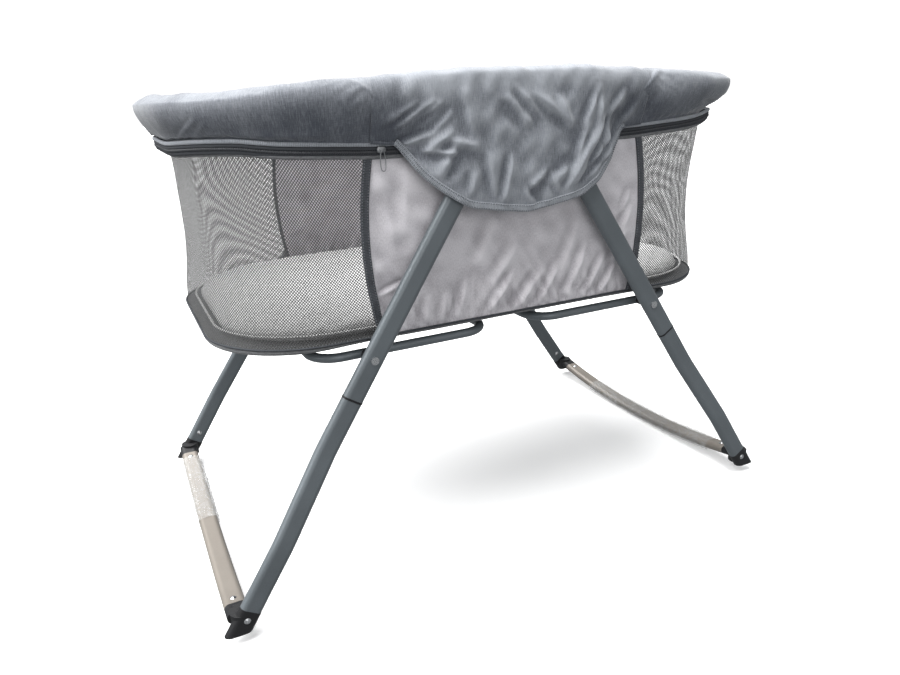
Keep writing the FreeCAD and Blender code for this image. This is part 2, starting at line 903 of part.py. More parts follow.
def band(name, low, high, inner, outer):
    """Closed band of the wall between two heights and two skins."""
    skin = loft(f"{name}_skin", [wall_outline(low, outer), wall_outline(high, outer)])
    core = loft(f"{name}_core", [wall_outline(low, inner), wall_outline(high, inner)])
    return cut(f"{name}_band", skin, core)


thickness = size("wall_thick")
wall = band("wall", size("wall_bottom"), size("wall_top") - size("wall_seam"), -thickness, 0)
side_window = box(
    "side_window",
    Length="2 * panel_half_length",
    Width="wall_top_width + 20",
    Height="wall_top",
    x="-1 * panel_half_length",
    y="-1 * wall_top_width - 20",
)
front_and_rear(common("side_panel_cloth", wall, side_window), "side_panel")
end_window = box(
    "end_window",
    Length="wall_top_length",
    Width="2 * wall_top_width + 20",
    Height="wall_top",
    x="panel_half_length",
    y="-1 * wall_top_width - 10",
)
right_and_left(common("end_mesh_cloth", wall, end_window), "end_mesh")
zip_band = band("zip", size("zip_low"), size("zip_high"), size("zip_gap"), size("zip_thick"))
keep(zip_band, "zip_tape")


def base_cover():
    """Stiffened floor: a plate on the loops and a wider tray that carries the walls."""
    plate_low, tray_low, tray_high = size("base_plate_low"), size("base_tray_low"), size("base_tray_high")
    over = size("base_overhang")
    plate_sizes = [size(f"base_plate_{name}") for name in ("length", "width", "corner")]
    tray_sizes = [size(f"wall_base_{name}") + over for name in ("length", "width", "corner")]
    plate_top = tray_low + over / 2
    plate = loft("base_plate", [rounded_rectangle(*plate_sizes, z) for z in (plate_low, plate_top)])
    tray = loft("base_tray", [rounded_rectangle(*tray_sizes, z) for z in (tray_low, tray_high)])
    return fuse("base_cover_solid", [plate, tray])


keep(base_cover(), "base_cover")


def mattress():
    """Flat pad with rounded top and bottom edges."""
    outline = rounded_rectangle(
        size("mattress_length"), size("mattress_width"), size("mattress_corner"), size("mattress_low")
    )
    slab = make("Part::Extrusion", "mattress_slab")
    slab.Base = wire_object("mattress_outline", outline)
    slab.DirMode = "Custom"
    slab.Dir = Vector(0, 0, 1)
    slab.Solid = True
    slab.setExpression("LengthFwd", cells("mattress_high - mattress_low"))
    doc.recompute()
    level = [
        n + 1
        for n, edge in enumerate(slab.Shape.Edges)
        if abs(edge.Vertexes[0].Z - edge.Vertexes[-1].Z) < 1
    ]
    rounded = make("Part::Fillet", "mattress_rounded")
    rounded.Base = slab
    radius = size("mattress_fillet")
    rounded.Edges = [(n, radius, radius) for n in level]
    return rounded


keep(mattress(), "mattress")


def flap():
    """Bell shaped flap hung over the hub, with a bridge over the top to the inside."""
    half, low, neck, top = (size(a) for a in ("flap_half_width", "flap_low", "flap_neck", "flap_top"))
    drop = neck - low
    shape = [(1.0, 1.0), (0.82, 0.64), (0.62, 0.30), (0.36, 0.09), (0.0, 0.0)]
    right = [Vector(half * across, 0, low + drop * up) for across, up in shape]
    left = [Vector(-p.x, 0, p.z) for p in reversed(right[:-1])]
    curve = Part.BSplineCurve()
    curve.interpolate(right + left)
    corners = [right[0], Vector(half, 0, top), Vector(-half, 0, top), left[-1]]
    edges = [Part.LineSegment(a, b).toShape() for a, b in zip(corners, corners[1:])]
    outline = wire_object("flap_outline", Part.Wire(edges[::-1] + [curve.toShape()]))
    apron = make("Part::Extrusion", "flap_apron")
    apron.Base = outline
    apron.DirMode = "Custom"
    apron.Dir = Vector(0, 1, 0)
    apron.Solid = True
    bind(apron, LengthFwd="flap_thick", y="-1 * flap_face - flap_thick")
    skin = box(
        "bridge_skin_block",
        Length="2 * bridge_half_length",
        Width="flap_face + flap_thick - bridge_inner",
        Height="cover_top - rail_height + bridge_drop",
        x="-1 * bridge_half_length",
        y="-1 * flap_face - flap_thick",
        z="rail_height - bridge_drop",
    )
    room = box(
        "bridge_room",
        Length="4 * bridge_half_length",
        Width="flap_face - bridge_inner - bridge_skin",
        Height="cover_top - rail_height + 2 * bridge_drop - bridge_skin",
        x="-2 * bridge_half_length",
        y="-1 * flap_face",
        z="rail_height - 2 * bridge_drop",
    )
    return cut("flap_with_bridge", fuse("flap_blank", [apron, skin]), room)


front_and_rear(flap(), "hub_flap")


# ---------------------------------------------------------------- zip slider


slider_face = "wall_top_width + zip_thick + slider_gap"
slider = box(
    "slider_block",
    Length="slider_length",
    Width="slider_depth",
    Height="slider_tall",
    x="-1 * slider_reach - slider_length / 2",
    y=f"-1 * ( {slider_face} + slider_depth )",
    z="zip_low + slider_lift",
)
keep(slider, "zip_slider")
pull_tab = box(
    "pull_blank",
    Length="pull_wide",
    Width="pull_thick",
    Height="pull_long",
    x="-1 * slider_reach - pull_wide / 2",
    y=f"-1 * ( {slider_face} + slider_depth + pull_gap + pull_thick )",
    z="zip_low + pull_hang - pull_long",
)
keep(pull_tab, "zip_pull")


# ---------------------------------------------------------------- check and write

doc.recompute()
for item in doc.Objects:
    if "Invalid" in item.State or "Error" in item.State:
        raise RuntimeError(f"{item.Name} failed: {item.State}")
for item in nodes:
    if item.Shape.isNull() or not item.Shape.isValid() or not item.Shape.Solids:
        raise RuntimeError(f"{item.Label} has no valid solid")

os.makedirs("parts", exist_ok=True)
for item in nodes:
    item.Shape.exportStep(os.path.join("parts", f"{item.Label}.step"))
    extent = item.Shape.BoundBox
    print(
        f"{item.Label:26s} {len(item.Shape.Solids)} solids"
        f"  x {extent.XMin:7.1f} {extent.XMax:7.1f}"
        f"  y {extent.YMin:7.1f} {extent.YMax:7.1f}"
        f"  z {extent.ZMin:7.1f} {extent.ZMax:7.1f}"
        f"  {item.Shape.Volume / 1000:8.1f} cm3"
    )
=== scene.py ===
"""Bassinet on a folding rocker stand: fabric, fittings, finishes and studio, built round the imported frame.

Lengths are in metres. X is the long axis, -Y the front and Z up. A fabric piece is a grid of points worked
out with numpy, most of them a rounded rectangle in plan that carries a profile in height and outward reach.
"""

import math

import bpy
import numpy as np
from mathutils import Matrix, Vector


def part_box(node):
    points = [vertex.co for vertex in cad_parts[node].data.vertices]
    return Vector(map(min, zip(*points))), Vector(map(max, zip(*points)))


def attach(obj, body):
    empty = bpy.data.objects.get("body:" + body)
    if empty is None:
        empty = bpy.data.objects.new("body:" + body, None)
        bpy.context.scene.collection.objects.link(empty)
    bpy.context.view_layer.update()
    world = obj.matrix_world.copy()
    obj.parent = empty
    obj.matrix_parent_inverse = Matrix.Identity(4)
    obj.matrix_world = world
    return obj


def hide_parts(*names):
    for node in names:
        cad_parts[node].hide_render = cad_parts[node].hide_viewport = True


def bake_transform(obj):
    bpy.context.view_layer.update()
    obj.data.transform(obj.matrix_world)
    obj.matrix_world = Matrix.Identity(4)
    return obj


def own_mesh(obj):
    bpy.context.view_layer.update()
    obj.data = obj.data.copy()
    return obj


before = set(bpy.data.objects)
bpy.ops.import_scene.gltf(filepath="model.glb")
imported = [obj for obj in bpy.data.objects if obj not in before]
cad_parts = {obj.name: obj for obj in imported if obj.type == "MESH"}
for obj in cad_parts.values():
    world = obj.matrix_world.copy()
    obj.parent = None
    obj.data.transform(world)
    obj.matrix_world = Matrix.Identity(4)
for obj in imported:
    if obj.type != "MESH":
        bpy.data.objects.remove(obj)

bl_info = {
    "name": "Bassinet on Rocker Stand",
    "version": (1, 0, 0),
    "blender": (4, 5, 0),
    "location": "3D View > Sidebar > Bassinet",
    "description": "Builds a fabric bassinet around its folding stand",
    "category": "Add Mesh",
}

RAIL = (0.4225, 0.2505, 0.170)  # half length, half width and corner radius of the top rail's line
ZIP_RISE = (  # how much higher the zip runs at distances from the middle
    (0.0, -0.0015), (0.10, -0.0015), (0.19, -0.0012), (0.25, 0.0020), (0.31, 0.0058),
    (0.34, 0.0090), (0.37, 0.0126), (0.41, 0.0125), (0.44, 0.0085),
)
END_INSET = (  # height, and how far the left and the right end lie inside the wall's outline there
    (0.3715, 0.0030, 0.0080), (0.400, 0.0072, 0.0122), (0.430, 0.0124, 0.0174), (0.460, 0.0166, 0.0216),
    (0.490, 0.0188, 0.0238), (0.520, 0.0208, 0.0230), (0.550, 0.0212, 0.0192), (0.580, 0.0214, 0.0134),
    (0.6035, 0.0205, 0.0085), (0.6055, 0.0090, -0.0035), (0.6060, 0.0055, -0.0075),
)
SIDES = (("left", -1), ("right", 1))
ENDS = (("front", 1), ("rear", -1))  # the rear pieces are the front ones turned half way round
UP = np.array([0.0, 0.0, 1.0])
FORWARD = np.array([0.0, -1.0, 0.0])
BRIDGE_HIGH = 0.7040  # height of the flap's fabric where it bridges the hub
STITCH_PITCH = 0.0036


# ---------------------------------------------------------------- sizes and colours


def length(name, description, default):
    """Property that holds a length in metres."""
    return bpy.props.FloatProperty(
        name=name, description=description, default=default, min=0.0, unit="LENGTH"
    )


def colour(name, description, default):
    """Property that holds a linear colour."""
    return bpy.props.FloatVectorProperty(
        name=name, description=description, default=default, min=0.0, max=1.0, subtype="COLOR"
    )


class BassinetSizes(bpy.types.PropertyGroup):
    """Sizes of the fabric, its trims and the zip."""

    wall_top_length: length("Wall top half length", "Half length of the fabric wall at the zip", 0.430)
    wall_top_width: length("Wall top half width", "Half width of the fabric wall at the zip", 0.247)
    wall_top_corner: length("Wall top corner", "Corner radius of the fabric wall at the zip", 0.165)
    wall_base_length: length("Wall base half length", "Half length of the wall at the floor board", 0.420)
    wall_base_width: length("Wall base half width", "Half width of the wall at the floor board", 0.243)
    wall_base_corner: length("Wall base corner", "Corner radius of the wall at the floor board", 0.145)
    wall_low: length("Wall low edge", "Height of the wall's lower edge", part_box("base_cover")[1][2] + 0.0015)
    wall_high: length("Wall high edge", "Height where the wall meets the zip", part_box("zip_tape")[0][2])
    panel_reach: length("Panel reach", "Half width of a side panel at its widest", 0.221)
    panel_bow: length("Panel bow", "How far a side panel's edges draw in at top and bottom", 0.013)
    panel_puff: length("Panel puff", "How far a side panel stands proud of the wall", 0.0055)
    gather_pitch: length("Gather pitch", "Spacing of the puckers along a side panel's lower seam", 0.019)
    gather_height: length("Gather height", "Height of those puckers", 0.0022)
    mesh_pitch: length("Mesh pitch", "Spacing of the holes in the end meshes", 0.0030)
    binding_width: length("Panel binding", "Width of the tape on a side panel's edges", 0.0115)
    flap_binding_width: length("Flap binding", "Width of the tape round a flap's lower edge", 0.0095)
    flap_reach: length("Flap reach", "Half width of a flap where it leaves the zip", 0.172)
    flap_low: length("Flap low edge", "Height of a flap's lowest point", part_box("front_hub_flap")[0][2])
    flap_high: length("Flap top", "Height of the fabric where it bridges the hub", BRIDGE_HIGH)
    piping: length("Piping", "Diameter of the piping beside the zip", 0.0044)
    coil_pitch: length("Zip pitch", "Spacing of the zip's teeth", 0.0030)
    film_gap: length("Film gap", "Slack between a rocker and the film round it", 0.0011)


class BassinetColours(bpy.types.PropertyGroup):
    """Colours of the fabrics, paints and fittings."""

    frame_paint: colour("Frame paint", "Satin metallic paint on legs, loops and rail", (0.135, 0.153, 0.166))
    rocker_paint: colour("Rocker paint", "Warm grey paint on the rockers", (0.255, 0.228, 0.200))
    plastic: colour("Black plastic", "Feet, rings and plugs", (0.006, 0.006, 0.007))
    hub_plastic: colour("Hub plastic", "Folding hubs under the flaps", (0.050, 0.053, 0.058))
    steel: colour("Steel", "Screws and pins", (0.62, 0.63, 0.64))
    marl_dark: colour("Marl dark", "Dark yarn of the rim and flaps", (0.068, 0.076, 0.094))
    marl_light: colour("Marl light", "Light yarn of the rim and flaps", (0.370, 0.388, 0.420))
    panel_dark: colour("Panel dark", "Dark yarn of the side panels", (0.340, 0.322, 0.345))
    panel_light: colour("Panel light", "Light yarn of the side panels", (0.760, 0.735, 0.765))
    flap_tape: colour("Flap tape", "Binding round the flaps", (0.270, 0.285, 0.310))
    panel_tape: colour("Panel tape", "Binding on the side panels", (0.062, 0.066, 0.074))
    thread: colour("Thread", "Stitching", (0.115, 0.122, 0.135))
    net: colour("Mesh yarn", "Yarn of the end meshes", (0.075, 0.075, 0.075))
    mattress: colour("Mattress cover", "Mattress fabric", (0.900, 0.900, 0.892))
    base: colour("Base cloth", "Cloth round the floor board", (0.120, 0.123, 0.128))
    zip_tape: colour("Zip tape", "Woven tape of the zip", (0.030, 0.032, 0.036))
    zip_metal: colour("Zip metal", "Slider and pull", (0.330, 0.335, 0.345))
    film: colour("Film", "Clear film round the rockers", (0.86, 0.86, 0.85))
    floor: colour("Floor", "Studio floor", (0.86, 0.86, 0.86))


def sizes():
    """Sizes kept in the scene."""
    return bpy.context.scene.bassinet_sizes


def colours():
    """Colours kept in the scene."""
    return bpy.context.scene.bassinet_colours


# ---------------------------------------------------------------- lines and surfaces


def ring(along, half_length, half_width, corner, outward=0.0):
    """Rounded rectangle in plan: x, y at distances along it from the middle of the front, then anticlockwise.

    The centre of the current corner moves along each straight by the share of the distance that falls in it,
    the facing turns through each arc by the share that falls in that, and the point lies the corner radius
    plus outward from the centre, the way it faces.
    """
    run_x, run_y, arc = half_length - corner, half_width - corner, corner * math.pi / 2
    legs = (
        (run_x, 1, 0), (arc, 0, 0), (2 * run_y, 0, 1), (arc, 0, 0), (2 * run_x, -1, 0),
        (arc, 0, 0), (2 * run_y, 0, -1), (arc, 0, 0), (run_x, 1, 0),
    )
    around = np.mod(along, perimeter(half_length, half_width, corner))
    x, y, facing, passed = 0.0, -run_y, -math.pi / 2, 0.0
    for run, step_x, step_y in legs:
        share = np.clip(around - passed, 0, run)
        x, y = x + step_x * share, y + step_y * share
        if not (step_x or step_y):
            facing = facing + share / corner
        passed = passed + run
    reach = corner + outward
    return x + reach * np.cos(facing), y + reach * np.sin(facing), facing


def perimeter(half_length, half_width, corner):
    """Length round a rounded rectangle: its straights and one full circle."""
    return 4 * (half_length + half_width - 2 * corner) + 2 * math.pi * corner


def wall_outline(height):
    """Half length, half width and corner of the wall at a height, in proportion between its base and top."""
    s = sizes()
    share = (height - s.wall_low) / (s.wall_high - s.wall_low)
    return (
        s.wall_base_length + share * (s.wall_top_length - s.wall_base_length),
        s.wall_base_width + share * (s.wall_top_width - s.wall_base_width),
        s.wall_base_corner + share * (s.wall_top_corner - s.wall_base_corner),
    )


def rise(x):
    """How much higher than its middle the zip runs at each x: it climbs towards the corners."""
    reach, lift = curve_through(ZIP_RISE, 60).T
    return np.interp(abs(x), reach, lift)


def climbed(x, z):
    """Heights z raised with the zip, by all of its rise at the wall's top and none of it below 0.50."""
    return z + rise(x) * smooth_step(0.50, sizes().wall_high, z)


def drawn_in(x, z):
    """x moved towards the middle, near each end only, by that end's amount for its height."""
    height, left, right = np.array(END_INSET).T
    near = smooth_step(0.22, 0.40, abs(x))
    return x - np.sign(x) * near * np.where(x < 0, np.interp(z, height, left), np.interp(z, height, right))


def curve_through(knots, count, closed=False):
    """Evenly spaced points on the cubic line through knots; its slope at each is half the step across it."""
    knots = np.asarray(knots, float)
    if closed:
        held = np.concatenate([knots[-1:], knots, knots[:2]])
    else:
        held = np.concatenate([2 * knots[:1] - knots[1:2], knots, 2 * knots[-1:] - knots[-2:-1]])
    spans = len(held) - 3
    at = np.linspace(0, spans, spans * 24 + 1)
    first = np.minimum(at.astype(int), spans - 1)
    f = (at - first).reshape(-1, *([1] * (knots.ndim - 1)))
    a, b, c, d = (held[first + k] for k in range(4))
    line = 0.5 * (2 * b + (c - a) * f + (2 * a - 5 * b + 4 * c - d) * f**2 + (3 * b - a - 3 * c + d) * f**3)
    if knots.ndim > 2:
        return line[np.linspace(0, len(line) - 1, count).round().astype(int)]
    gone = np.concatenate([[0], np.cumsum(np.linalg.norm(np.diff(line, axis=0), axis=1))])
    wanted = np.linspace(0, gone[-1], count + 1 if closed else count)[:count]
    return np.stack([np.interp(wanted, gone, line[:, k]) for k in range(line.shape[1])], -1)


def oval(wide, tall, count=16, squareness=2.0):
    """Closed profile: a superellipse of that width and height."""
    turn = np.linspace(0, 2 * math.pi, count, endpoint=False)
    c, s = np.cos(turn), np.sin(turn)
    power = 2 / squareness
    return np.stack([wide / 2 * np.sign(c) * abs(c) ** power, tall / 2 * np.sign(s) * abs(s) ** power], -1)


def carry(route, out, up, profile):
    """Each route point plus the profile's first number along out and its second along up."""
    return route[:, None] + out[:, None] * profile[..., :1] + up[:, None] * profile[..., 1:]


def unit(vectors):
    """Vectors divided by their own length."""
    return vectors / np.maximum(np.linalg.norm(vectors, axis=-1, keepdims=True), 1e-12)


def facing_of(grid):
    """Direction a grid faces at each point: across its two neighbouring differences."""
    return unit(np.cross(np.gradient(grid, axis=1), np.gradient(grid, axis=0)))


def turned(points):
    """Half a turn about Z, which takes the front to the rear."""
    return points * np.array([-1, -1, 1])


def smooth_step(low, high, x):
    """0 below low, 1 above high, and three times the square less twice the cube of the share between."""
    t = np.clip((x - low) / (high - low), 0, 1)
    return t * t * (3 - 2 * t)


def ripples(u, v, longest, shortest, seed, count=28):
    """Soft unevenness about 1 high: waves between two lengths, directions and phases drawn from seed."""
    random = np.random.default_rng(seed)
    total = np.zeros(np.broadcast(u, v).shape)
    for wave in np.geomspace(longest, shortest, count):
        turn, phase = random.uniform(0, 2 * math.pi, 2)
        total += np.sin(2 * math.pi * (u * math.cos(turn) + v * math.sin(turn)) / wave + phase)
    return total / math.sqrt(count)


def folds(u, v, lines):
    """Raised folds, each with a hollow on one side, along lines (from u, v, to u, v, half width, height).

    Across the line the height is a sharp bell curve less a rounder one beside it; along it, half a sine wave.
    """
    total = np.zeros(np.broadcast(u, v).shape)
    for u0, v0, u1, v1, half, height in lines:
        du, dv = u1 - u0, v1 - v0
        run = math.hypot(du, dv)
        along = ((u - u0) * du + (v - v0) * dv) / run**2
        aside = ((u - u0) * dv - (v - v0) * du) / run
        fade = np.sin(math.pi * np.clip(along, 0, 1)) ** 0.7
        ridge = np.exp(-(abs(aside / half) ** 1.4)) - 0.75 * np.exp(-((aside / half - 1.5) ** 2))
        total += height * fade * ridge
    return total


def finer(grid, round_rows=False, round_columns=False):
    """Grid with a new point half way between each pair, on the cubic through the four nearest."""
    for axis, whole in ((0, round_rows), (1, round_columns)):
        g = np.moveaxis(grid, axis, 0)
        held = np.concatenate([g[-1:], g, g[:2]] if whole else [2 * g[:1] - g[1:2], g, 2 * g[-1:] - g[-2:-1]])
        middle = (9 * (held[1:-2] + held[2:-1]) - held[:-3] - held[3:]) / 16
        woven = np.empty((len(g) + len(middle), *g.shape[1:]))
        woven[0::2], woven[1::2] = g, middle
        grid = np.moveaxis(woven, 0, axis)
    return grid


def piece(
    name, grid, finish, uv=None, painted_shading=None, round_rows=False, round_columns=False, caps=False, flip=False
):
    """Mesh object through a grid of rows by columns of points.

    uv is a pair of arrays for the grid's points, in metres. The shading array is kept as an attribute, from -1
    in a hollow to 1 on a ridge, which the cloth finishes turn into painted shade in hollows and a painted
    highlight on ridges. A round grid joins its last line to its first, and caps close the ends of a tube.
    """
    rows, columns = grid.shape[:2]
    index = np.arange(rows * columns).reshape(rows, columns)
    if round_rows:
        index = np.concatenate([index, index[:1]])
    if round_columns:
        index = np.concatenate([index, index[:, :1]], axis=1)
    corners = np.stack([index[:-1, :-1], index[1:, :-1], index[1:, 1:], index[:-1, 1:]], -1).reshape(-1, 4)
    corners = corners[:, ::-1] if flip else corners
    faces = corners.tolist()
    if caps:
        ends = [index[0, :columns].tolist(), index[-1, :columns][::-1].tolist()]
        faces += [end[::-1] for end in ends] if flip else ends
    mesh = bpy.data.meshes.new(name)
    mesh.from_pydata(grid.reshape(-1, 3), [], faces)
    if uv is not None:
        tall, wide = index.shape
        u, v = (extended(np.broadcast_to(part, (rows, columns)), tall, wide) for part in uv)
        place = np.stack([u, v], -1).reshape(-1, 2)
        cell = np.arange(tall * wide).reshape(tall, wide)
        loops = np.stack([cell[:-1, :-1], cell[1:, :-1], cell[1:, 1:], cell[:-1, 1:]], -1).reshape(-1, 4)
        loops = (loops[:, ::-1] if flip else loops).reshape(-1)
        values = np.zeros((len(mesh.loops), 2))
        values[: len(loops)] = place[loops]
        mesh.uv_layers.new(name="UVMap").data.foreach_set("uv", values.reshape(-1).astype(np.float32))
    if painted_shading is not None:
        kept = np.clip(np.broadcast_to(painted_shading, (rows, columns)), -1, 1).reshape(-1).astype(np.float32)
        mesh.attributes.new("painted_shading", "FLOAT", "POINT").data.foreach_set("value", kept)
    return placed(name, mesh, finish)


def extended(part, tall, wide):
    """Array continued by one step where its grid closes on itself."""
    if tall > part.shape[0]:
        part = np.concatenate([part, 2 * part[-1:] - part[-2:-1]])
    if wide > part.shape[1]:
        part = np.concatenate([part, 2 * part[:, -1:] - part[:, -2:-1]], axis=1)
    return part


def placed(name, mesh, finish):
    """Object of a mesh, smooth and in its finish, in the scene."""
    mesh.polygons.foreach_set("use_smooth", np.ones(len(mesh.polygons), bool))
    mesh.materials.append(finish)
    mesh.validate()
    mesh.update()
    made = bpy.data.objects.new(name, mesh)
    bpy.context.scene.collection.objects.link(made)
    return made


def repeated(name, shape, faces, places, finish):
    """One small shape, points by 3 in its own axes, at many places (origins, then three axes each)."""
    origin, x, y, z = places
    axes = np.stack([x, y, z], 1)
    points = origin[:, None] + shape @ axes
    steps = (np.arange(len(origin)) * len(shape))[:, None, None]
    sides = (np.asarray(faces)[None] + steps).reshape(-1, len(faces[0]))
    mesh = bpy.data.meshes.new(name)
    mesh.from_pydata(points.reshape(-1, 3), [], sides.tolist())
    return placed(name, mesh, finish)


def gone_along(route):
    """Distance from a route's start to each of its points."""
    return np.concatenate([[0], np.cumsum(np.linalg.norm(np.diff(route, axis=0), axis=1))])


def mirrored(lines, share=1.0):
    """Fold lines mirrored across the middle, at a share of their height."""
    return [(-u0, v0, -u1, v1, half, height * share) for u0, v0, u1, v1, half, height in lines]


def stitches(name, route, out, finish, long=0.62, thick=0.0007):
    """Row of raised stitches along a route: beads of six sides, long a share of the pitch, facing out."""
    pitch = STITCH_PITCH
    gone = gone_along(route)
    at = np.arange(pitch / 2, gone[-1], pitch)
    origin, z = (np.stack([np.interp(at, gone, line[:, k]) for k in range(3)], -1) for line in (route, out))
    x = unit(np.stack([np.interp(at, gone, np.gradient(route, axis=0)[:, k]) for k in range(3)], -1))
    y = unit(np.cross(z, x))
    half = pitch * long / 2
    shape = np.array(
        [
            (-half, 0, -thick / 2), (half, 0, -thick / 2),
            (-half * 0.6, -thick, 0), (half * 0.6, -thick, 0),
            (-half * 0.6, thick, 0), (half * 0.6, thick, 0),
            (-half * 0.6, 0, thick), (half * 0.6, 0, thick),
        ]
    )
    faces = [(0, 2, 3, 1), (2, 6, 7, 3), (6, 4, 5, 7), (4, 0, 1, 5), (0, 4, 6, 2), (1, 3, 7, 5)]
    return repeated(name, shape, faces, (origin, x, y, z), finish)


def band(name, route, out, width, thick, finish, count=14):
    """Tape along a route: a flat squarish oval, its width across the route and its thickness along out."""
    along = unit(np.gradient(route, axis=0))
    across = unit(np.cross(out, along))
    profile = oval(thick, width, count, 3.2)
    grid = carry(route, out, across, profile)
    gone = gone_along(route)
    around = np.linspace(0, 2 * width, count)
    return piece(name, grid, finish, uv=(gone[:, None], around[None]), round_columns=True, caps=True)


def thickened(made, thick):
    """Gives a sheet its thickness, inwards."""
    wall = made.modifiers.new("thickness", "SOLIDIFY")
    wall.thickness, wall.offset = thick, -1.0


def crumples(made, body):
    """The piece rides on a body, with a mesh of its own."""
    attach(made, body)
    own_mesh(made)


def points_of(mesh):
    """Points of a mesh as rows."""
    found = np.empty(len(mesh.vertices) * 3, np.float32)
    mesh.vertices.foreach_get("co", found)
    return found.reshape(-1, 3).astype(float)


def settle(made, pressure, cap, held, growth=0.0, frames=20):
    """Blows a piece up as cloth for some frames, and keeps each point within cap of where it began.

    held marks the points that stay; growth is the share of spare cloth, which gathers into wrinkles.
    """
    scene = bpy.context.scene
    start = points_of(made.data)
    cloth = made.modifiers.new("settle", "CLOTH")
    cloth.point_cache.frame_start, cloth.point_cache.frame_end = 1, frames
    rules = cloth.settings
    rules.quality, rules.use_pressure, rules.uniform_pressure_force = 6, True, pressure
    rules.effector_weights.gravity, rules.shrink_min = 0.0, -growth
    cloth.collision_settings.use_collision = False
    group = made.vertex_groups.new(name="held")
    group.add(np.flatnonzero(held).tolist(), 1.0, "REPLACE")
    rules.vertex_group_mass = group.name
    for number in range(1, frames + 1):
        scene.frame_set(number)
    view = made.evaluated_get(bpy.context.evaluated_depsgraph_get())
    move = points_of(view.data) - start
    scene.frame_set(1)
    made.modifiers.remove(cloth)
    far = np.linalg.norm(move, axis=1, keepdims=True)
    kept = start + move * np.minimum(1, cap / np.maximum(far, 1e-9))
    made.data.vertices.foreach_set("co", kept.reshape(-1).astype(np.float32))
    made.data.update()


# ---------------------------------------------------------------- finishes


class Wire:
    """An output socket that does sums: each operator adds the Math node for it."""

    def __init__(self, tree, socket=None):
        self.tree, self.socket = tree, socket

    def node(self, kind, settings=(), sockets=(), out=0):
        """Adds any node: its settings, then the values or links of its sockets, and gives one output."""
        made = self.tree.nodes.new(kind)
        for name, value in dict(settings).items():
            setattr(made, name, value)
        for name, value in dict(sockets).items():
            if isinstance(value, Wire):
                self.tree.links.new(value.socket, made.inputs[name])
            else:
                made.inputs[name].default_value = value
        return Wire(self.tree, made.outputs[out])

    def maths(self, operation, *terms):
        return self.node("ShaderNodeMath", {"operation": operation}, dict(enumerate(terms)))

    def __add__(self, other):
        return self.maths("ADD", self, other)

    __radd__ = __add__

    def __sub__(self, other):
        return self.maths("SUBTRACT", self, other)

    def __rsub__(self, other):
        return self.maths("SUBTRACT", other, self)

    def __mul__(self, other):
        return self.maths("MULTIPLY", self, other)

    __rmul__ = __mul__

    def magnitude(self):
        """The value without its sign."""
        return self.maths("ABSOLUTE", self)

    def between(self, low, high):
        """0 below low, 1 above high, and a smooth rise between."""
        made = {"interpolation_type": "SMOOTHSTEP"}
        return self.node("ShaderNodeMapRange", made, {0: self, 1: low, 2: high, 3: 0.0, 4: 1.0})

    def wave(self):
        """Cosine of the value in whole turns."""
        return self.maths("COSINE", self * (2 * math.pi))

    def mix(self, first, second):
        """Colour from first at 0 to second at 1."""
        tint = [part if isinstance(part, Wire) else (*part, 1.0) for part in (first, second)]
        return self.node("ShaderNodeMix", {"data_type": "RGBA"}, {0: self, 6: tint[0], 7: tint[1]}, out=2)


def coordinates(w, kind, stretch=(1.0, 1.0, 1.0), turn=0.0):
    """Texture coordinates of a kind, stretched and turned about the third axis."""
    place = w.node("ShaderNodeTexCoord", out=kind)
    return w.node("ShaderNodeMapping", {}, {"Vector": place, "Scale": stretch, "Rotation": (0, 0, turn)})


def noise(w, place, scale, detail=3.0, roughness=0.55, distortion=0.0):
    """Noise texture's strength at a place."""
    facts = {"Vector": place, "Scale": scale, "Detail": detail, "Roughness": roughness}
    facts["Distortion"] = distortion
    return w.node("ShaderNodeTexNoise", {}, facts, out="Fac")


def bump(w, height, distance, strength):
    """Normal tilted by a height."""
    return w.node("ShaderNodeBump", {}, {"Height": height, "Distance": distance, "Strength": strength})


def tinted(shade, tint, low, high):
    """Colour from low times a tint at 0 to high times it at 1."""
    return shade.mix([part * low for part in tint], [min(1, part * high) for part in tint])


def parts_of(w, place):
    """First two numbers of a vector."""
    return [w.node("ShaderNodeSeparateXYZ", {}, {"Vector": place}, out=k) for k in range(2)]


def finish(name, wiring):
    """The finish of that name, made the first time from a function that gives the shader's sockets."""
    made = bpy.data.materials.get(name)
    if made is None:
        made = bpy.data.materials.new(name)
        made.use_nodes = True
        w = Wire(made.node_tree)
        shader = made.node_tree.nodes["Principled BSDF"]
        for socket, value in wiring(w).items():
            if isinstance(value, Wire):
                made.node_tree.links.new(value.socket, shader.inputs[socket])
            else:
                shader.inputs[socket].default_value = value
    return made


def weave(w, uv, pitch):
    """Plain weave: the higher of two crossed sets of yarns."""
    u, v = parts_of(w, uv)
    first, second = (u * (1 / pitch)).wave(), (v * (1 / pitch)).wave()
    return (first * second) * 0.5 + 0.5


def marl(w, streak, drawn, scuffing_and_painted_shade):
    """Heathered cloth's shade and height: drawn out slubs, flecks, clouds, a weave, painted shade in hollows
    and painted highlight on ridges.
    """
    uv = coordinates(w, "UV")
    slub = noise(w, coordinates(w, "UV", (streak, streak / drawn, 1)), 1.0, 4.0, 0.7)
    cross = noise(w, coordinates(w, "UV", (streak / 9, streak, 1)), 1.0, 3.0, 0.6)
    cloud = noise(w, coordinates(w, "UV", (14, 9, 1)), 1.0, 3.0)
    fleck = noise(w, uv, 900.0, 2.0, 0.8)
    # painted light and shade from the mesh's shading attribute: painted shade in hollows, painted highlight on
    # ridges
    ridge = w.node("ShaderNodeAttribute", {"attribute_name": "painted_shading"}, out="Fac")
    shade = (slub * 0.50 + cross * 0.16 + fleck * 0.22 + cloud * 0.22 - 0.05).between(0.30, 0.75)
    # the last argument sets how strongly this painted light and shade tints the cloth
    shade = (shade + ridge * scuffing_and_painted_shade).between(-0.45, 1.35)
    return shade, (weave(w, uv, 0.0014) * 0.5 + slub * 0.35 + fleck * 0.25)


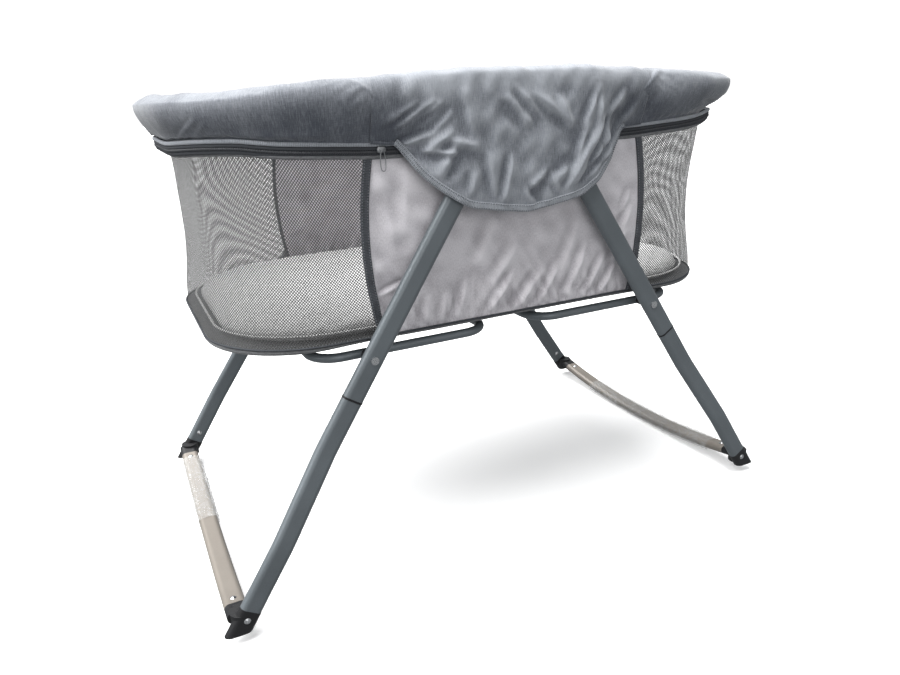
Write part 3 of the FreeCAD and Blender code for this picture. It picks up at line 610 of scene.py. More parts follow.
def marl_cloth(w):
    """Heathered cloth of the rim and flaps."""
    c = colours()
    # 0.55 is the strength of the painted shade and painted highlight from the shading attribute
    shade, height = marl(w, 900.0, 11, 0.55)
    return {
        "Base Color": shade.mix(c.marl_dark, c.marl_light),
        "Roughness": 0.88 - shade * 0.10,
        "Sheen Weight": 0.35,
        "Sheen Roughness": 0.45,
        "Specular IOR Level": 0.25,
        "Normal": bump(w, height, 0.0006, 0.55),
    }


def panel_cloth(w):
    """Heathered cloth of the side panels, darker in clouds along its lower seam."""
    c = colours()
    # 0.45 is the strength of the painted shade and painted highlight from the shading attribute
    shade, height = marl(w, 1100.0, 4, 0.45)
    uv = coordinates(w, "UV")
    _, v = parts_of(w, uv)
    # clouds that darken the cloth towards the lower seam
    lower_dark_clouds = noise(w, coordinates(w, "UV", (75, 30, 1), 0.5), 1.0, 4.0, 0.65, 0.6)
    low = 1.0 - v.between(0.0, 0.09)
    depth = (shade - (lower_dark_clouds.between(0.40, 0.70) * low) * 0.50 + 0.10).between(-0.25, 1.1)
    return {
        "Base Color": depth.mix(c.panel_dark, c.panel_light),
        "Roughness": 0.84 - shade * 0.08,
        "Sheen Weight": 0.25,
        "Sheen Roughness": 0.4,
        "Specular IOR Level": 0.25,
        "Normal": bump(w, height, 0.0005, 0.5),
    }


def tape_cloth(name, tint):
    """Ribbed binding tape: ribs across it, scuffed flecks and patches."""

    def wiring(w):
        uv = coordinates(w, "UV")
        u, _ = parts_of(w, uv)
        ribs = (u * (1 / 0.0021)).wave() * 0.5 + 0.5
        fleck = noise(w, uv, 520.0, 3.0, 0.7)
        patch = noise(w, uv, 60.0, 3.0)
        shade = (ribs * 0.25 + fleck * 0.55 + patch * 0.35).between(0.25, 0.85)
        return {
            "Base Color": tinted(shade, tint, 0.55, 1.55),
            "Roughness": 0.9 - ribs * 0.12,
            "Sheen Weight": 0.2,
            "Specular IOR Level": 0.2,
            "Normal": bump(w, ribs + fleck * 0.5, 0.0004, 0.7),
        }

    return finish(name, wiring)


def net_cloth(w):
    """Knitted mesh: yarn left between a diagonal grid of round holes."""
    c, s = colours(), sizes()
    uv = coordinates(w, "UV")
    u, v = parts_of(w, uv)
    turns = 1 / (s.mesh_pitch * math.sqrt(2))
    first, second = (u * turns).wave(), (v * turns).wave()
    hole = (first * second).between(-0.04, 0.28)
    fleck = noise(w, uv, 700.0, 2.0)
    patch = noise(w, uv, 9.0, 2.0)
    return {
        "Base Color": tinted(fleck * 0.7 + patch * 0.3, c.net, 0.8, 1.3),
        "Roughness": 0.7 + fleck * 0.15,
        "Alpha": 0.96 - hole * 0.68,
        "Specular IOR Level": 0.3,
        "Normal": bump(w, first * second, 0.0004, 0.4),
    }


def mattress_cloth(w):
    """Knitted cover: small cells with soft edges and faint clouds."""
    c = colours()
    place = coordinates(w, "Object")
    facts = {"Vector": place, "Scale": 210.0}
    cells = w.node("ShaderNodeTexVoronoi", {"feature": "F1"}, facts, out="Distance")
    fine = noise(w, place, 1400.0, 2.0)
    cloud = noise(w, place, 12.0, 3.0)
    shade = (cells * 0.45 + fine * 0.2 + cloud * 0.45).between(0.15, 0.75)
    return {
        "Base Color": tinted(shade, c.mattress, 0.90, 1.0),
        "Roughness": 0.86 - cells * 0.1,
        "Sheen Weight": 0.25,
        "Specular IOR Level": 0.2,
        "Normal": bump(w, cells * -1.0 + fine * 0.3, 0.0010, 0.6),
    }


def base_cloth(w):
    """Coarse woven cloth of the floor board's cover."""
    c = colours()
    place = coordinates(w, "Object")
    streak = noise(w, coordinates(w, "Object", (160, 160, 700)), 1.0, 3.0, 0.7)
    fine = noise(w, place, 950.0, 2.0, 0.7)
    shade = (streak * 0.6 + fine * 0.45).between(0.25, 0.8)
    return {
        "Base Color": tinted(shade, c.base, 0.6, 1.7),
        "Roughness": 0.82 + fine * 0.12,
        "Sheen Weight": 0.2,
        "Specular IOR Level": 0.3,
        "Normal": bump(w, streak + fine, 0.0004, 0.5),
    }


def coil_plastic(w):
    """Zip teeth: dark nylon with dusty patches."""
    c = colours()
    dust = noise(w, coordinates(w, "Object"), 400.0, 3.0, 0.7)
    return {
        "Base Color": tinted(dust, c.zip_tape, 0.6, 2.2),
        "Roughness": 0.38 + dust * 0.25,
        "Normal": bump(w, dust, 0.0002, 0.4),
    }


def zip_cloth(w):
    """Woven zip tape: fine ribs along it."""
    c = colours()
    place = coordinates(w, "Object")
    ribs = noise(w, coordinates(w, "Object", (90, 90, 1500)), 1.0, 2.0, 0.6)
    fine = noise(w, place, 800.0, 2.0, 0.7)
    return {
        "Base Color": tinted(ribs * 0.6 + fine * 0.4, c.zip_tape, 0.6, 2.6),
        "Roughness": 0.8 + fine * 0.12,
        "Specular IOR Level": 0.3,
        "Normal": bump(w, ribs + fine * 0.4, 0.0003, 0.5),
    }


def metallic_paint(tint, name, scuffing_and_painted_shade=0.5):
    """Satin metallic coating: fine flakes, faint orange peel and slow changes of gloss."""

    def wiring(w):
        place = coordinates(w, "Object")
        flake = noise(w, place, 2600.0, 1.0)
        peel = noise(w, place, 420.0, 2.0)
        cloud = noise(w, place, 7.0, 4.0, 0.6)
        scuff = noise(w, coordinates(w, "Object", (60, 60, 9)), 1.0, 5.0, 0.7).between(0.62, 0.78)
        shade = (flake * 0.55 + cloud * 0.50).between(0.25, 0.80)
        return {
            "Base Color": tinted(shade, tint, 0.80, 1.22),
            "Metallic": 0.30,
            "Roughness": 0.36 + cloud * 0.12 + scuff * (0.10 * scuffing_and_painted_shade) + flake * 0.05,
            "Coat Weight": 0.22,
            "Coat Roughness": 0.28,
            "Normal": bump(w, peel + flake * 0.3, 0.00012, 0.35),
        }

    return finish(name, wiring)


def moulded_plastic(tint, name, roughness):
    """Moulded plastic: fine spark-eroded grain with rubbed, glossier patches."""

    def wiring(w):
        place = coordinates(w, "Object")
        grain = noise(w, place, 1500.0, 2.0, 0.6)
        rub = noise(w, place, 38.0, 4.0, 0.6)
        shade = (grain * 0.4 + rub * 0.6).between(0.3, 0.8)
        return {
            "Base Color": tinted(shade, tint, 0.8, 2.0),
            "Roughness": roughness + grain * 0.18 - rub * 0.10,
            "Normal": bump(w, grain, 0.00025, 0.5),
        }

    return finish(name, wiring)


def bright_metal(tint, name, roughness):
    """Plated metal: fine brushing and duller patches."""

    def wiring(w):
        place = coordinates(w, "Object")
        brush = noise(w, coordinates(w, "Object", (2200, 160, 2200)), 1.0, 2.0)
        dull = noise(w, place, 120.0, 3.0, 0.6)
        return {
            "Base Color": tinted(dull, tint, 0.75, 1.15),
            "Metallic": 1.0,
            "Roughness": roughness + brush * 0.12 + dull * 0.10,
            "Normal": bump(w, brush, 0.00008, 0.3),
        }

    return finish(name, wiring)


def clear_film(w):
    """Crinkled clear wrap: mostly see-through, milky in patches, and more opaque white along its creases as a
    painted highlight.
    """
    c = colours()
    place = coordinates(w, "Object")
    crease = noise(w, coordinates(w, "Object", (150, 90, 150), 0.6), 1.0, 4.0, 0.7, 1.6)
    ridge = 1.0 - (crease - 0.5).magnitude() * 9.0
    milk = noise(w, place, 26.0, 3.0)
    # opacity: the film's white shows more along the creases, a painted highlight, and in milky patches
    cover = ridge.between(0.35, 1.0) * 0.45 + milk.between(0.45, 0.75) * 0.16 + 0.07
    return {
        "Base Color": tinted(milk, c.film, 0.92, 1.0),
        "Roughness": 0.10 + milk * 0.10,
        "Alpha": cover,
        "Specular IOR Level": 0.8,
        "Normal": bump(w, crease, 0.004, 0.9),
    }


def studio_floor(w):
    """Matt pale floor with a little light of its own."""
    c = colours()
    cloud = noise(w, coordinates(w, "Object"), 0.8, 3.0)
    return {
        "Base Color": tinted(cloud, c.floor, 0.985, 1.0),
        "Roughness": 0.75 + cloud * 0.1,
        "Specular IOR Level": 0.15,
        "Emission Color": tinted(cloud, c.floor, 0.99, 1.0),
        "Emission Strength": 0.40,
    }


def studio_backdrop(w):
    """Even white, which gives its own light."""
    veil = noise(w, coordinates(w, "Object"), 0.05, 1.0)
    return {
        "Base Color": (0.0, 0.0, 0.0, 1.0),
        "Roughness": 1.0,
        "Emission Color": veil.mix((1.0, 1.0, 1.0), (0.99, 0.995, 1.0)),
        "Emission Strength": 1.05,
    }


def rim_marl():
    """Finish of the rim and flaps."""
    return finish("rim_marl", marl_cloth)


def flap_tape():
    """Finish of the flaps' binding and the upper piping."""
    return tape_cloth("flap_tape", tuple(colours().flap_tape))


def panel_tape():
    """Finish of the side panels' binding."""
    return tape_cloth("panel_tape", tuple(colours().panel_tape))


def thread():
    """Finish of the stitches."""
    return moulded_plastic(tuple(colours().thread), "sewing_thread", 0.7)


# ---------------------------------------------------------------- rim cover

# section of the padded rim: outward reach from the rail's line, and height
RIM_SECTION = (
    (0.0020, 0.6212), (0.0085, 0.6370), (0.0155, 0.6525), (0.0215, 0.6665), (0.0236, 0.6765),
    (0.0218, 0.6878), (0.0145, 0.6958), (0.0015, 0.6992), (-0.0090, 0.6962), (-0.0136, 0.6870),
    (-0.0142, 0.6740), (-0.0110, 0.6540), (-0.0068, 0.6340), (-0.0042, 0.6215),
)
RIM_START = 0.062  # distance from the middle of the front where each padded half begins
RIM_SWELL = 0.0016  # the pad starts this much slimmer, and swells
SECTION_COUNT = 44
RIM_TOTAL = perimeter(*RAIL)


def rim_folds(along, around, mirror):
    """Creases of one padded half: they run from the flap's corner and from a tuck over the end's curve."""
    lines = (
        (0.165, 0.030, 0.235, 0.092, 0.0034, 0.0022), (0.180, 0.022, 0.258, 0.074, 0.0040, 0.0020),
        (0.176, 0.050, 0.214, 0.100, 0.0030, 0.0018), (0.232, 0.012, 0.300, 0.040, 0.0045, 0.0013),
        (0.400, 0.050, 0.452, 0.012, 0.0036, 0.0018), (0.412, 0.058, 0.480, 0.020, 0.0040, 0.0016),
        (0.392, 0.044, 0.424, 0.008, 0.0034, 0.0013), (0.330, 0.010, 0.352, 0.044, 0.0050, 0.0009),
    )
    near = along if mirror > 0 else RIM_TOTAL / 2 - along
    far = RIM_TOTAL / 2 - near
    return folds(near, around, lines) + 0.8 * folds(far, around, lines[::2])


def rim_painted_light_and_shade(z):
    """Painted light and shade on the rim's cloth by height: painted shade beside the zip, painted highlight on
    top.
    """
    return 1.5 * smooth_step(0.640, 0.698, z) - 0.95


class BASSINET_OT_rim_cover(bpy.types.Operator):
    """Padded cover round each half of the top rail"""

    bl_idname = "bassinet.rim_cover"
    bl_label = "Rim Cover"

    def execute(self, context):
        section = curve_through(RIM_SECTION, SECTION_COUNT, closed=True)
        ahead = unit(np.roll(section, -1, 0) - np.roll(section, 1, 0))
        section = section + np.stack([-ahead[:, 1], ahead[:, 0]], -1) * RIM_SWELL
        around = gone_along(section)
        seam = SECTION_COUNT - np.arange(3)
        for side, sign in SIDES:
            start = RIM_START if sign > 0 else RIM_TOTAL / 2 + RIM_START
            along = np.linspace(start, start + RIM_TOTAL / 2 - 2 * RIM_START, 216)
            x, y, _ = ring(along[:, None], *RAIL, section[None, :, 0])
            grid = self.flared(x, y, *section.T)
            made = piece(f"{side}_rim_pad", grid, rim_marl(), round_columns=True, caps=True)
            held = np.zeros(grid.shape[:2], bool)
            held[abs(grid[:, 0, 0]) < FLAP_SPREAD + 0.006] = True
            held[:, [0, 1, *(seam - 1)]] = True
            settle(made, 2.2, 0.0045, held.reshape(-1), growth=0.02)
            grid = finer(points_of(made.data).reshape(grid.shape), round_columns=True)
            bpy.data.objects.remove(made)
            lie = np.linspace(0, along[-1] - along[0], grid.shape[0])[:, None] + RIM_START
            wide = np.interp(np.arange(grid.shape[1]) / 2, np.arange(SECTION_COUNT), around)[None]
            lift = rim_folds(lie, wide, -sign) + 0.0006 * ripples(lie, wide * 0.6, 0.16, 0.03, 11 + sign)
            lift = (lift + 0.0011 * self.puckers(lie, wide)) * self.free(wide)
            grid = grid + facing_of(grid) * lift[..., None]
            # its shading attribute: painted shade in the hollows of creases and puckers, painted highlight on
            # their ridges, and the rim's painted shade beside the zip and painted highlight on top
            cover = piece(
                f"{side}_rim_cover_padded", grid, rim_marl(),
                uv=(lie, wide), painted_shading=lift / 0.0030 + rim_painted_light_and_shade(grid[..., 2]), round_columns=True, caps=True,
            )
            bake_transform(cover)
            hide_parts(f"{side}_rim_cover")
        return {"FINISHED"}

    @staticmethod
    def flared(x, y, outward, z):
        """Rim's points: the lower edge climbs with the zip; the ends reach out, and their top dips."""
        end = smooth_step(0.27, 0.43, abs(x))
        low = 1 - smooth_step(0.624, 0.668, z)
        outer = smooth_step(-0.006, 0.006, outward)
        reach = np.where(x < 0, 0.0025, 0.0310 - 0.0150 * low) * end * outer
        up = rise(x) * (1 - smooth_step(0.621, 0.667, z)) - 0.006 * smooth_step(0.680, 0.692, z) * end
        return np.stack([x + np.sign(x) * reach, y, z + up], -1)

    @staticmethod
    def free(wide):
        """1 on the outer face and top, less beside the zip."""
        return smooth_step(0.0, 0.010, wide) * (1 - smooth_step(0.185, 0.200, wide) * 0.7)

    @staticmethod
    def puckers(lie, wide):
        """Small puckers that start at the zip seam and die out up the flare."""
        wander = lie + 0.006 * np.sin(lie / 0.047) + 0.25 * wide
        strength = 0.5 + 0.5 * np.sin(lie / 0.071 + 1.3)
        return np.sin(wander / 0.0052) * np.exp(-wide / 0.018) * strength


# ---------------------------------------------------------------- flaps over the hubs

FLAP_SPREAD = 0.208  # half width of the flap's cloth where it lies on the rim
FLAP_EDGE = (  # half width of the flap at heights above its lowest point
    (0.0, 0.0), (0.026, 0.003), (0.064, 0.009), (0.089, 0.015), (0.118, 0.033),
    (0.141, 0.054), (0.160, 0.078), (0.172, 0.0935), (0.185, 0.0985), (0.210, 0.0990),
)
FLAP_OVER_HUB = (  # reach from the middle plane and height, from the inside over the hub and down
    (0.2290, 0.6640), (0.2284, 0.6850), (0.2350, 0.6995), (0.2530, 0.7045), (0.2735, 0.7030),
    (0.2822, 0.6925), (0.2836, 0.6600), (0.2834, 0.6230),
)
FLAP_OVER_RIM = (  # the same where it lies on the padded rim
    (0.2362, 0.6640), (0.2368, 0.6850), (0.2430, 0.6985), (0.2545, 0.7004), (0.2680, 0.6968),
    (0.2752, 0.6830), (0.2712, 0.6585), (0.2558, 0.6222),
)
FLAP_FOLDS = (  # along x and height: from, to, half width, height
    (-0.200, 0.640, -0.149, 0.669, 0.0042, 0.0034), (-0.184, 0.636, -0.128, 0.670, 0.0040, 0.0034),
    (-0.170, 0.636, -0.118, 0.668, 0.0038, 0.0026), (-0.175, 0.622, -0.128, 0.638, 0.0042, -0.0040),
    (-0.138, 0.634, -0.110, 0.662, 0.0042, -0.0036), (-0.144, 0.604, -0.106, 0.634, 0.0060, 0.0040),
    (-0.122, 0.624, -0.072, 0.608, 0.0065, 0.0050), (-0.148, 0.609, -0.096, 0.604, 0.0046, 0.0044),
    (-0.098, 0.610, -0.118, 0.570, 0.0056, -0.0046), (-0.034, 0.672, 0.004, 0.630, 0.0070, 0.0044),
    (-0.022, 0.684, 0.024, 0.638, 0.0056, 0.0034), (0.006, 0.674, 0.070, 0.628, 0.0064, 0.0040),
    (-0.024, 0.600, -0.038, 0.536, 0.0052, 0.0046), (-0.006, 0.546, 0.030, 0.574, 0.0056, 0.0046),
    (-0.004, 0.556, 0.022, 0.527, 0.0050, -0.0036), (0.024, 0.564, 0.068, 0.588, 0.0070, -0.0042),
    (-0.060, 0.604, -0.050, 0.540, 0.0064, 0.0036), (-0.092, 0.682, -0.080, 0.620, 0.0080, 0.0026),
    (0.115, 0.680, 0.086, 0.622, 0.0052, 0.0044), (0.117, 0.676, 0.112, 0.616, 0.0048, 0.0036),
    (0.140, 0.648, 0.130, 0.580, 0.0050, 0.0038), (0.168, 0.622, 0.126, 0.574, 0.0044, 0.0034),
    (0.150, 0.612, 0.066, 0.534, 0.0048, -0.0048), (0.134, 0.586, 0.060, 0.532, 0.0040, 0.0036),
    (0.096, 0.632, 0.068, 0.560, 0.0060, 0.0046), (0.110, 0.622, 0.058, 0.542, 0.0050, 0.0040),
    (0.142, 0.648, 0.078, 0.544, 0.0054, -0.0044), (0.046, 0.670, 0.068, 0.622, 0.0064, 0.0034),
    (0.166, 0.672, 0.128, 0.632, 0.0056, 0.0034), (0.198, 0.662, 0.156, 0.612, 0.0060, 0.0034),
    (0.040, 0.560, 0.050, 0.536, 0.0052, 0.0030), (-0.080, 0.580, -0.086, 0.548, 0.0058, 0.0030),
)


def flap_low_edge(x):
    """Height of the flap's lower edge at each x: the bell curve."""
    half, height = curve_through((FLAP_EDGE[1] * np.array([-1, 1]), *FLAP_EDGE), 120).T
    return sizes().flap_low + np.interp(abs(x), half, height)


def flap_grid(columns, rows, seed):
    """Cloth of one flap, columns along x and rows from the inside over the top to the lower edge.

    Each column is the cubic line through knots that pass from the hub's section to the rim's as x goes out,
    then down to the bell curve; folds and soft unevenness lift it along the way it faces.
    """
    x = np.linspace(-FLAP_SPREAD, FLAP_SPREAD, columns)
    out = smooth_step(0.100, 0.178, abs(x))[None, :, None]
    over_hub, over_rim = (np.array(line)[:, None] for line in (FLAP_OVER_HUB, FLAP_OVER_RIM))
    knots = over_hub * (1 - out) + over_rim * out
    knots[..., 1] += (1 - out[..., 0]) * (sizes().flap_high - BRIDGE_HIGH)
    tucked = 0.0030 * smooth_step(0.178, FLAP_SPREAD, abs(x))[None]
    centre = np.array([0.2545, 0.672])
    knots = knots - unit(knots - centre) * tucked[..., None]
    low = flap_low_edge(x)
    hem = np.stack([knots[-1, :, 0] - 0.0008, np.minimum(low, knots[-1, :, 1] - 0.0006)], -1)
    middle = (knots[-1] + hem) / 2 + np.array([0.0008, 0])
    line = curve_through(np.concatenate([knots, middle[None], hem[None]]), rows)
    grid = np.stack([np.broadcast_to(x[None], line.shape[:2]), -line[..., 0], line[..., 1]], -1)
    lines = mirrored(FLAP_FOLDS, 0.9) if seed else FLAP_FOLDS
    down = np.linspace(0, 1, rows)[:, None]
    hang = smooth_step(0.28, 0.45, down) * (1 - 0.55 * smooth_step(0.94, 1.0, down))
    side = 1 - smooth_step(0.80, 1.0, abs(x) / FLAP_SPREAD)[None]
    lift = folds(grid[..., 0], grid[..., 2], lines) * hang * 1.35
    lift += 0.0014 * ripples(grid[..., 0], grid[..., 2], 0.09, 0.022, 5 + seed) * (0.35 + 0.65 * hang)
    lift = np.where(lift < 0, 0.0030 * np.tanh(lift / 0.0030), lift) * side
    # painted light: over the hub the cloth is painted a little lighter all over, with a painted highlight on
    # top; towards the sides it takes the rim's painted shade and highlight by height; the creases' lift adds
    # painted shade in hollows and painted highlight on ridges
    inner = 1 - smooth_step(0.120, 0.190, abs(grid[..., 0]))
    high = grid[..., 2]
    flap_painted_light = (0.30 + 1.4 * smooth_step(0.668, 0.699, high)) * inner + rim_painted_light_and_shade(high) * (1 - inner)
    return grid + facing_of(grid) * -lift[..., None], lift / 0.0042 + flap_painted_light


class BASSINET_OT_hub_flaps(bpy.types.Operator):
    """Bell shaped flap over each hub, with its binding and stitching"""

    bl_idname = "bassinet.hub_flaps"
    bl_label = "Hub Flaps"

    def execute(self, context):
        s = sizes()
        for end, side in ENDS:
            grid, painted_shading = flap_grid(261, 151, 0 if side > 0 else 3)
            grid = grid if side > 0 else turned(grid)
            steps = np.linalg.norm(np.diff(grid, axis=0), axis=-1)
            fall = np.concatenate([np.zeros((1, grid.shape[1])), np.cumsum(steps, axis=0)])
            flap = piece(f"{end}_hub_flap_cloth", grid, rim_marl(), uv=(grid[..., 0], fall), painted_shading=painted_shading)
            thickened(flap, 0.0010)
            shown = abs(grid[-1, :, 0]) <= s.flap_reach + 0.004
            hem = grid[-1, shown]
            up = unit(grid[-5] - grid[-1])[shown]
            along = unit(np.gradient(hem, axis=0))
            out = unit(np.cross(up, along))
            out = out * np.sign(out[:, 1:2] * -side)
            tape_line = hem + up * (s.flap_binding_width * 0.36) + out * 0.0006
            tape = band(f"{end}_flap_binding", tape_line, out, s.flap_binding_width, 0.0030, flap_tape())
            rows = []
            for number, share in enumerate((0.36, -0.36)):
                seam = tape_line + up * (share * s.flap_binding_width) + out * 0.0016
                rows.append(stitches(f"{end}_flap_stitches_{number + 1}", seam, out, thread()))
            for made in (flap, tape, *rows):
                crumples(made, "hub")
            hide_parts(f"{end}_hub_flap")
        return {"FINISHED"}


# ---------------------------------------------------------------- side panels

PANEL_CREASES = (  # along x and height: from, to, half width, height
    (-0.217, 0.429, -0.172, 0.446, 0.0034, -0.0022), (-0.001, 0.436, -0.048, 0.372, 0.0070, 0.0038),
    (-0.030, 0.512, -0.066, 0.446, 0.0100, 0.0026), (0.002, 0.474, -0.040, 0.416, 0.0085, 0.0034),
    (0.046, 0.428, -0.006, 0.374, 0.0075, 0.0036), (0.074, 0.440, 0.038, 0.372, 0.0062, 0.0036),
    (-0.136, 0.420, -0.144, 0.378, 0.0060, 0.0026), (-0.112, 0.418, -0.120, 0.376, 0.0056, 0.0024),
    (0.204, 0.506, 0.180, 0.456, 0.0070, 0.0034), (0.196, 0.472, 0.170, 0.418, 0.0062, 0.0032),
    (0.122, 0.462, 0.088, 0.380, 0.0070, 0.0036), (0.156, 0.440, 0.121, 0.374, 0.0060, 0.0032),
    (0.178, 0.420, 0.150, 0.374, 0.0054, 0.0030), (0.106, 0.496, 0.076, 0.420, 0.0080, 0.0030),
    (0.199, 0.530, 0.184, 0.492, 0.0054, 0.0024), (-0.185, 0.398, -0.165, 0.424, 0.0050, 0.0020),
    (-0.080, 0.430, -0.094, 0.376, 0.0064, 0.0028), (0.020, 0.400, 0.004, 0.374, 0.0050, 0.0026),
    (-0.190, 0.560, -0.182, 0.470, 0.0120, 0.0018), (-0.160, 0.590, -0.168, 0.500, 0.0100, 0.0014),
)


def panel_edge(share):
    """Half width of a side panel at a share of its height: bowed, widest above the middle."""
    s = sizes()
    return s.panel_reach - s.panel_bow * (2 * share - 1.08) ** 2


def panel_grid(columns, rows, seed):
    """Cloth of one side panel, columns along x and rows up from the base.

    Its reach is the wall's, plus a puff that falls to nothing at the edges, plus puckers that grow towards
    the lower seam, plus creases.
    """
    s = sizes()
    share = np.linspace(0, 1, rows)[:, None]
    across = np.linspace(-1, 1, columns)[None]
    z = s.wall_low + share * (s.wall_high - s.wall_low) + 0 * across
    x = across * panel_edge(share)
    half_width = wall_outline(z)[1]
    puff = s.panel_puff * (1 - across**4) * np.sin(math.pi * np.clip(share * 0.96 + 0.02, 0, 1)) ** 0.6
    lean = x + 0.55 * (z - s.wall_low)
    wander = lean + 0.0045 * np.sin(lean / 0.031 + seed) + 0.002 * np.sin(lean / 0.011)
    strength = 0.55 + 0.45 * np.sin(lean / 0.043 + 2 * seed)
    gather = s.gather_height * np.sin(2 * math.pi * wander / s.gather_pitch) * strength
    gather = gather * np.exp(-(z - s.wall_low) / 0.042) * smooth_step(0, 0.03, share)
    lines = mirrored(PANEL_CREASES) if seed else PANEL_CREASES
    crease = folds(x, z, lines) + 0.0009 * ripples(x, z, 0.12, 0.025, 21 + seed)
    crease = crease * 1.3 * (1 - smooth_step(0.93, 1.0, abs(across))) * smooth_step(0, 0.04, share)
    reach = half_width + puff + gather + crease
    # the second array is painted shading: painted shade in the hollows of puckers and creases, painted
    # highlight on their ridges
    return np.stack([x, -reach, climbed(x, z)], -1), (gather + crease) / 0.0034


class BASSINET_OT_side_panels(bpy.types.Operator):
    """Cloth panel on each long side, with the taped seams that join it to the end meshes"""

    bl_idname = "bassinet.side_panels"
    bl_label = "Side Panels"

    def execute(self, context):
        s = sizes()
        cloth = finish("panel_marl", panel_cloth)
        for end, side in ENDS:
            grid, painted_shading = panel_grid(221, 131, 0 if side > 0 else 2)
            grid = grid if side > 0 else turned(grid)
            above = grid[..., 2] - s.wall_low
            panel = piece(f"{end}_panel_cloth", grid, cloth, uv=(grid[..., 0], above), painted_shading=painted_shading, flip=True)
            thickened(panel, 0.0012)
            tapes = []
            for label, column in (("a", 0), ("b", -1)):
                line = grid[:, column]
                out = np.broadcast_to(FORWARD * side, line.shape)
                middle = line + out * 0.0012
                name = f"{end}_panel_binding_{label}"
                tapes.append(band(name, middle, out, s.binding_width, 0.0028, panel_tape()))
                inward = np.sign(line[:1, :1]) * np.array([-1.0, 0, 0])
                for number, share in enumerate((0.33, -0.33)):
                    seam = middle + inward * share * s.binding_width + out * 0.0014
                    row = stitches(f"{end}_panel_stitches_{label}{number + 1}", seam, out, thread())
                    tapes.append(row)
            for made in (panel, *tapes):
                crumples(made, "hub")
            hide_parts(f"{end}_side_panel")
        return {"FINISHED"}


# ---------------------------------------------------------------- end meshes


class BASSINET_OT_end_meshes(bpy.types.Operator):
    """See-through mesh round each end"""

    bl_idname = "bassinet.end_meshes"
    bl_label = "End Meshes"

    def execute(self, context):
        s = sizes()
        share = np.append(np.linspace(0, 0.985, 64), np.linspace(0.99, 1, 6))[:, None]
        z = s.wall_low + share * (s.wall_high + 0.0006 - s.wall_low)
        outline = wall_outline(z)
        total = perimeter(*outline)
        edge = panel_edge(share) - 0.002
        across = np.linspace(0, 1, 190)[None]
        for side, sign in SIDES:
            start = edge if sign > 0 else total / 2 + edge
            along = start + across * (total / 2 - 2 * edge)
            slack = 0.0007 * ripples(along, z, 0.20, 0.05, 31 + sign)
            x, y, _ = ring(along, *outline, slack)
            grid = np.stack([drawn_in(x, z), y, climbed(x, z)], -1)
            yarn = finish("end_net", net_cloth)
            net = piece(f"{side}_end_net", grid, yarn, uv=(along, z + 0 * x), flip=True)
            crumples(net, "hub")
            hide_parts(f"{side}_end_mesh")
        return {"FINISHED"}


# ---------------------------------------------------------------- zip


def outward_and_up(facing):
    """Directions outward and up at points that face so in plan."""
    out = np.stack([np.cos(facing), np.sin(facing), 0 * facing], -1)
    return out, np.broadcast_to(UP, out.shape)


def hoop(name, height, outward, profile, made_finish, wobble=0.0, count=760):
    """Trim right round the wall at a height: a profile carried round the wall's outline."""
    outline = wall_outline(height)
    along = np.linspace(0, perimeter(*outline), count, endpoint=False)
    x, y, facing = ring(along, *outline, outward)
    z = height + wobble * (np.sin(along / 0.083) + 0.6 * np.sin(along / 0.031 + 2))
    z = z + rise(x) * smooth_step(0.50, 0.60, height)
    route = np.stack([drawn_in(x, height), y, z], -1)
    around = np.linspace(0, 0.02, profile.shape[-2])
    return piece(
        name, carry(route, *outward_and_up(facing), profile), made_finish,
        uv=(along[:, None], around[None]), round_rows=True, round_columns=True, flip=True,
    )


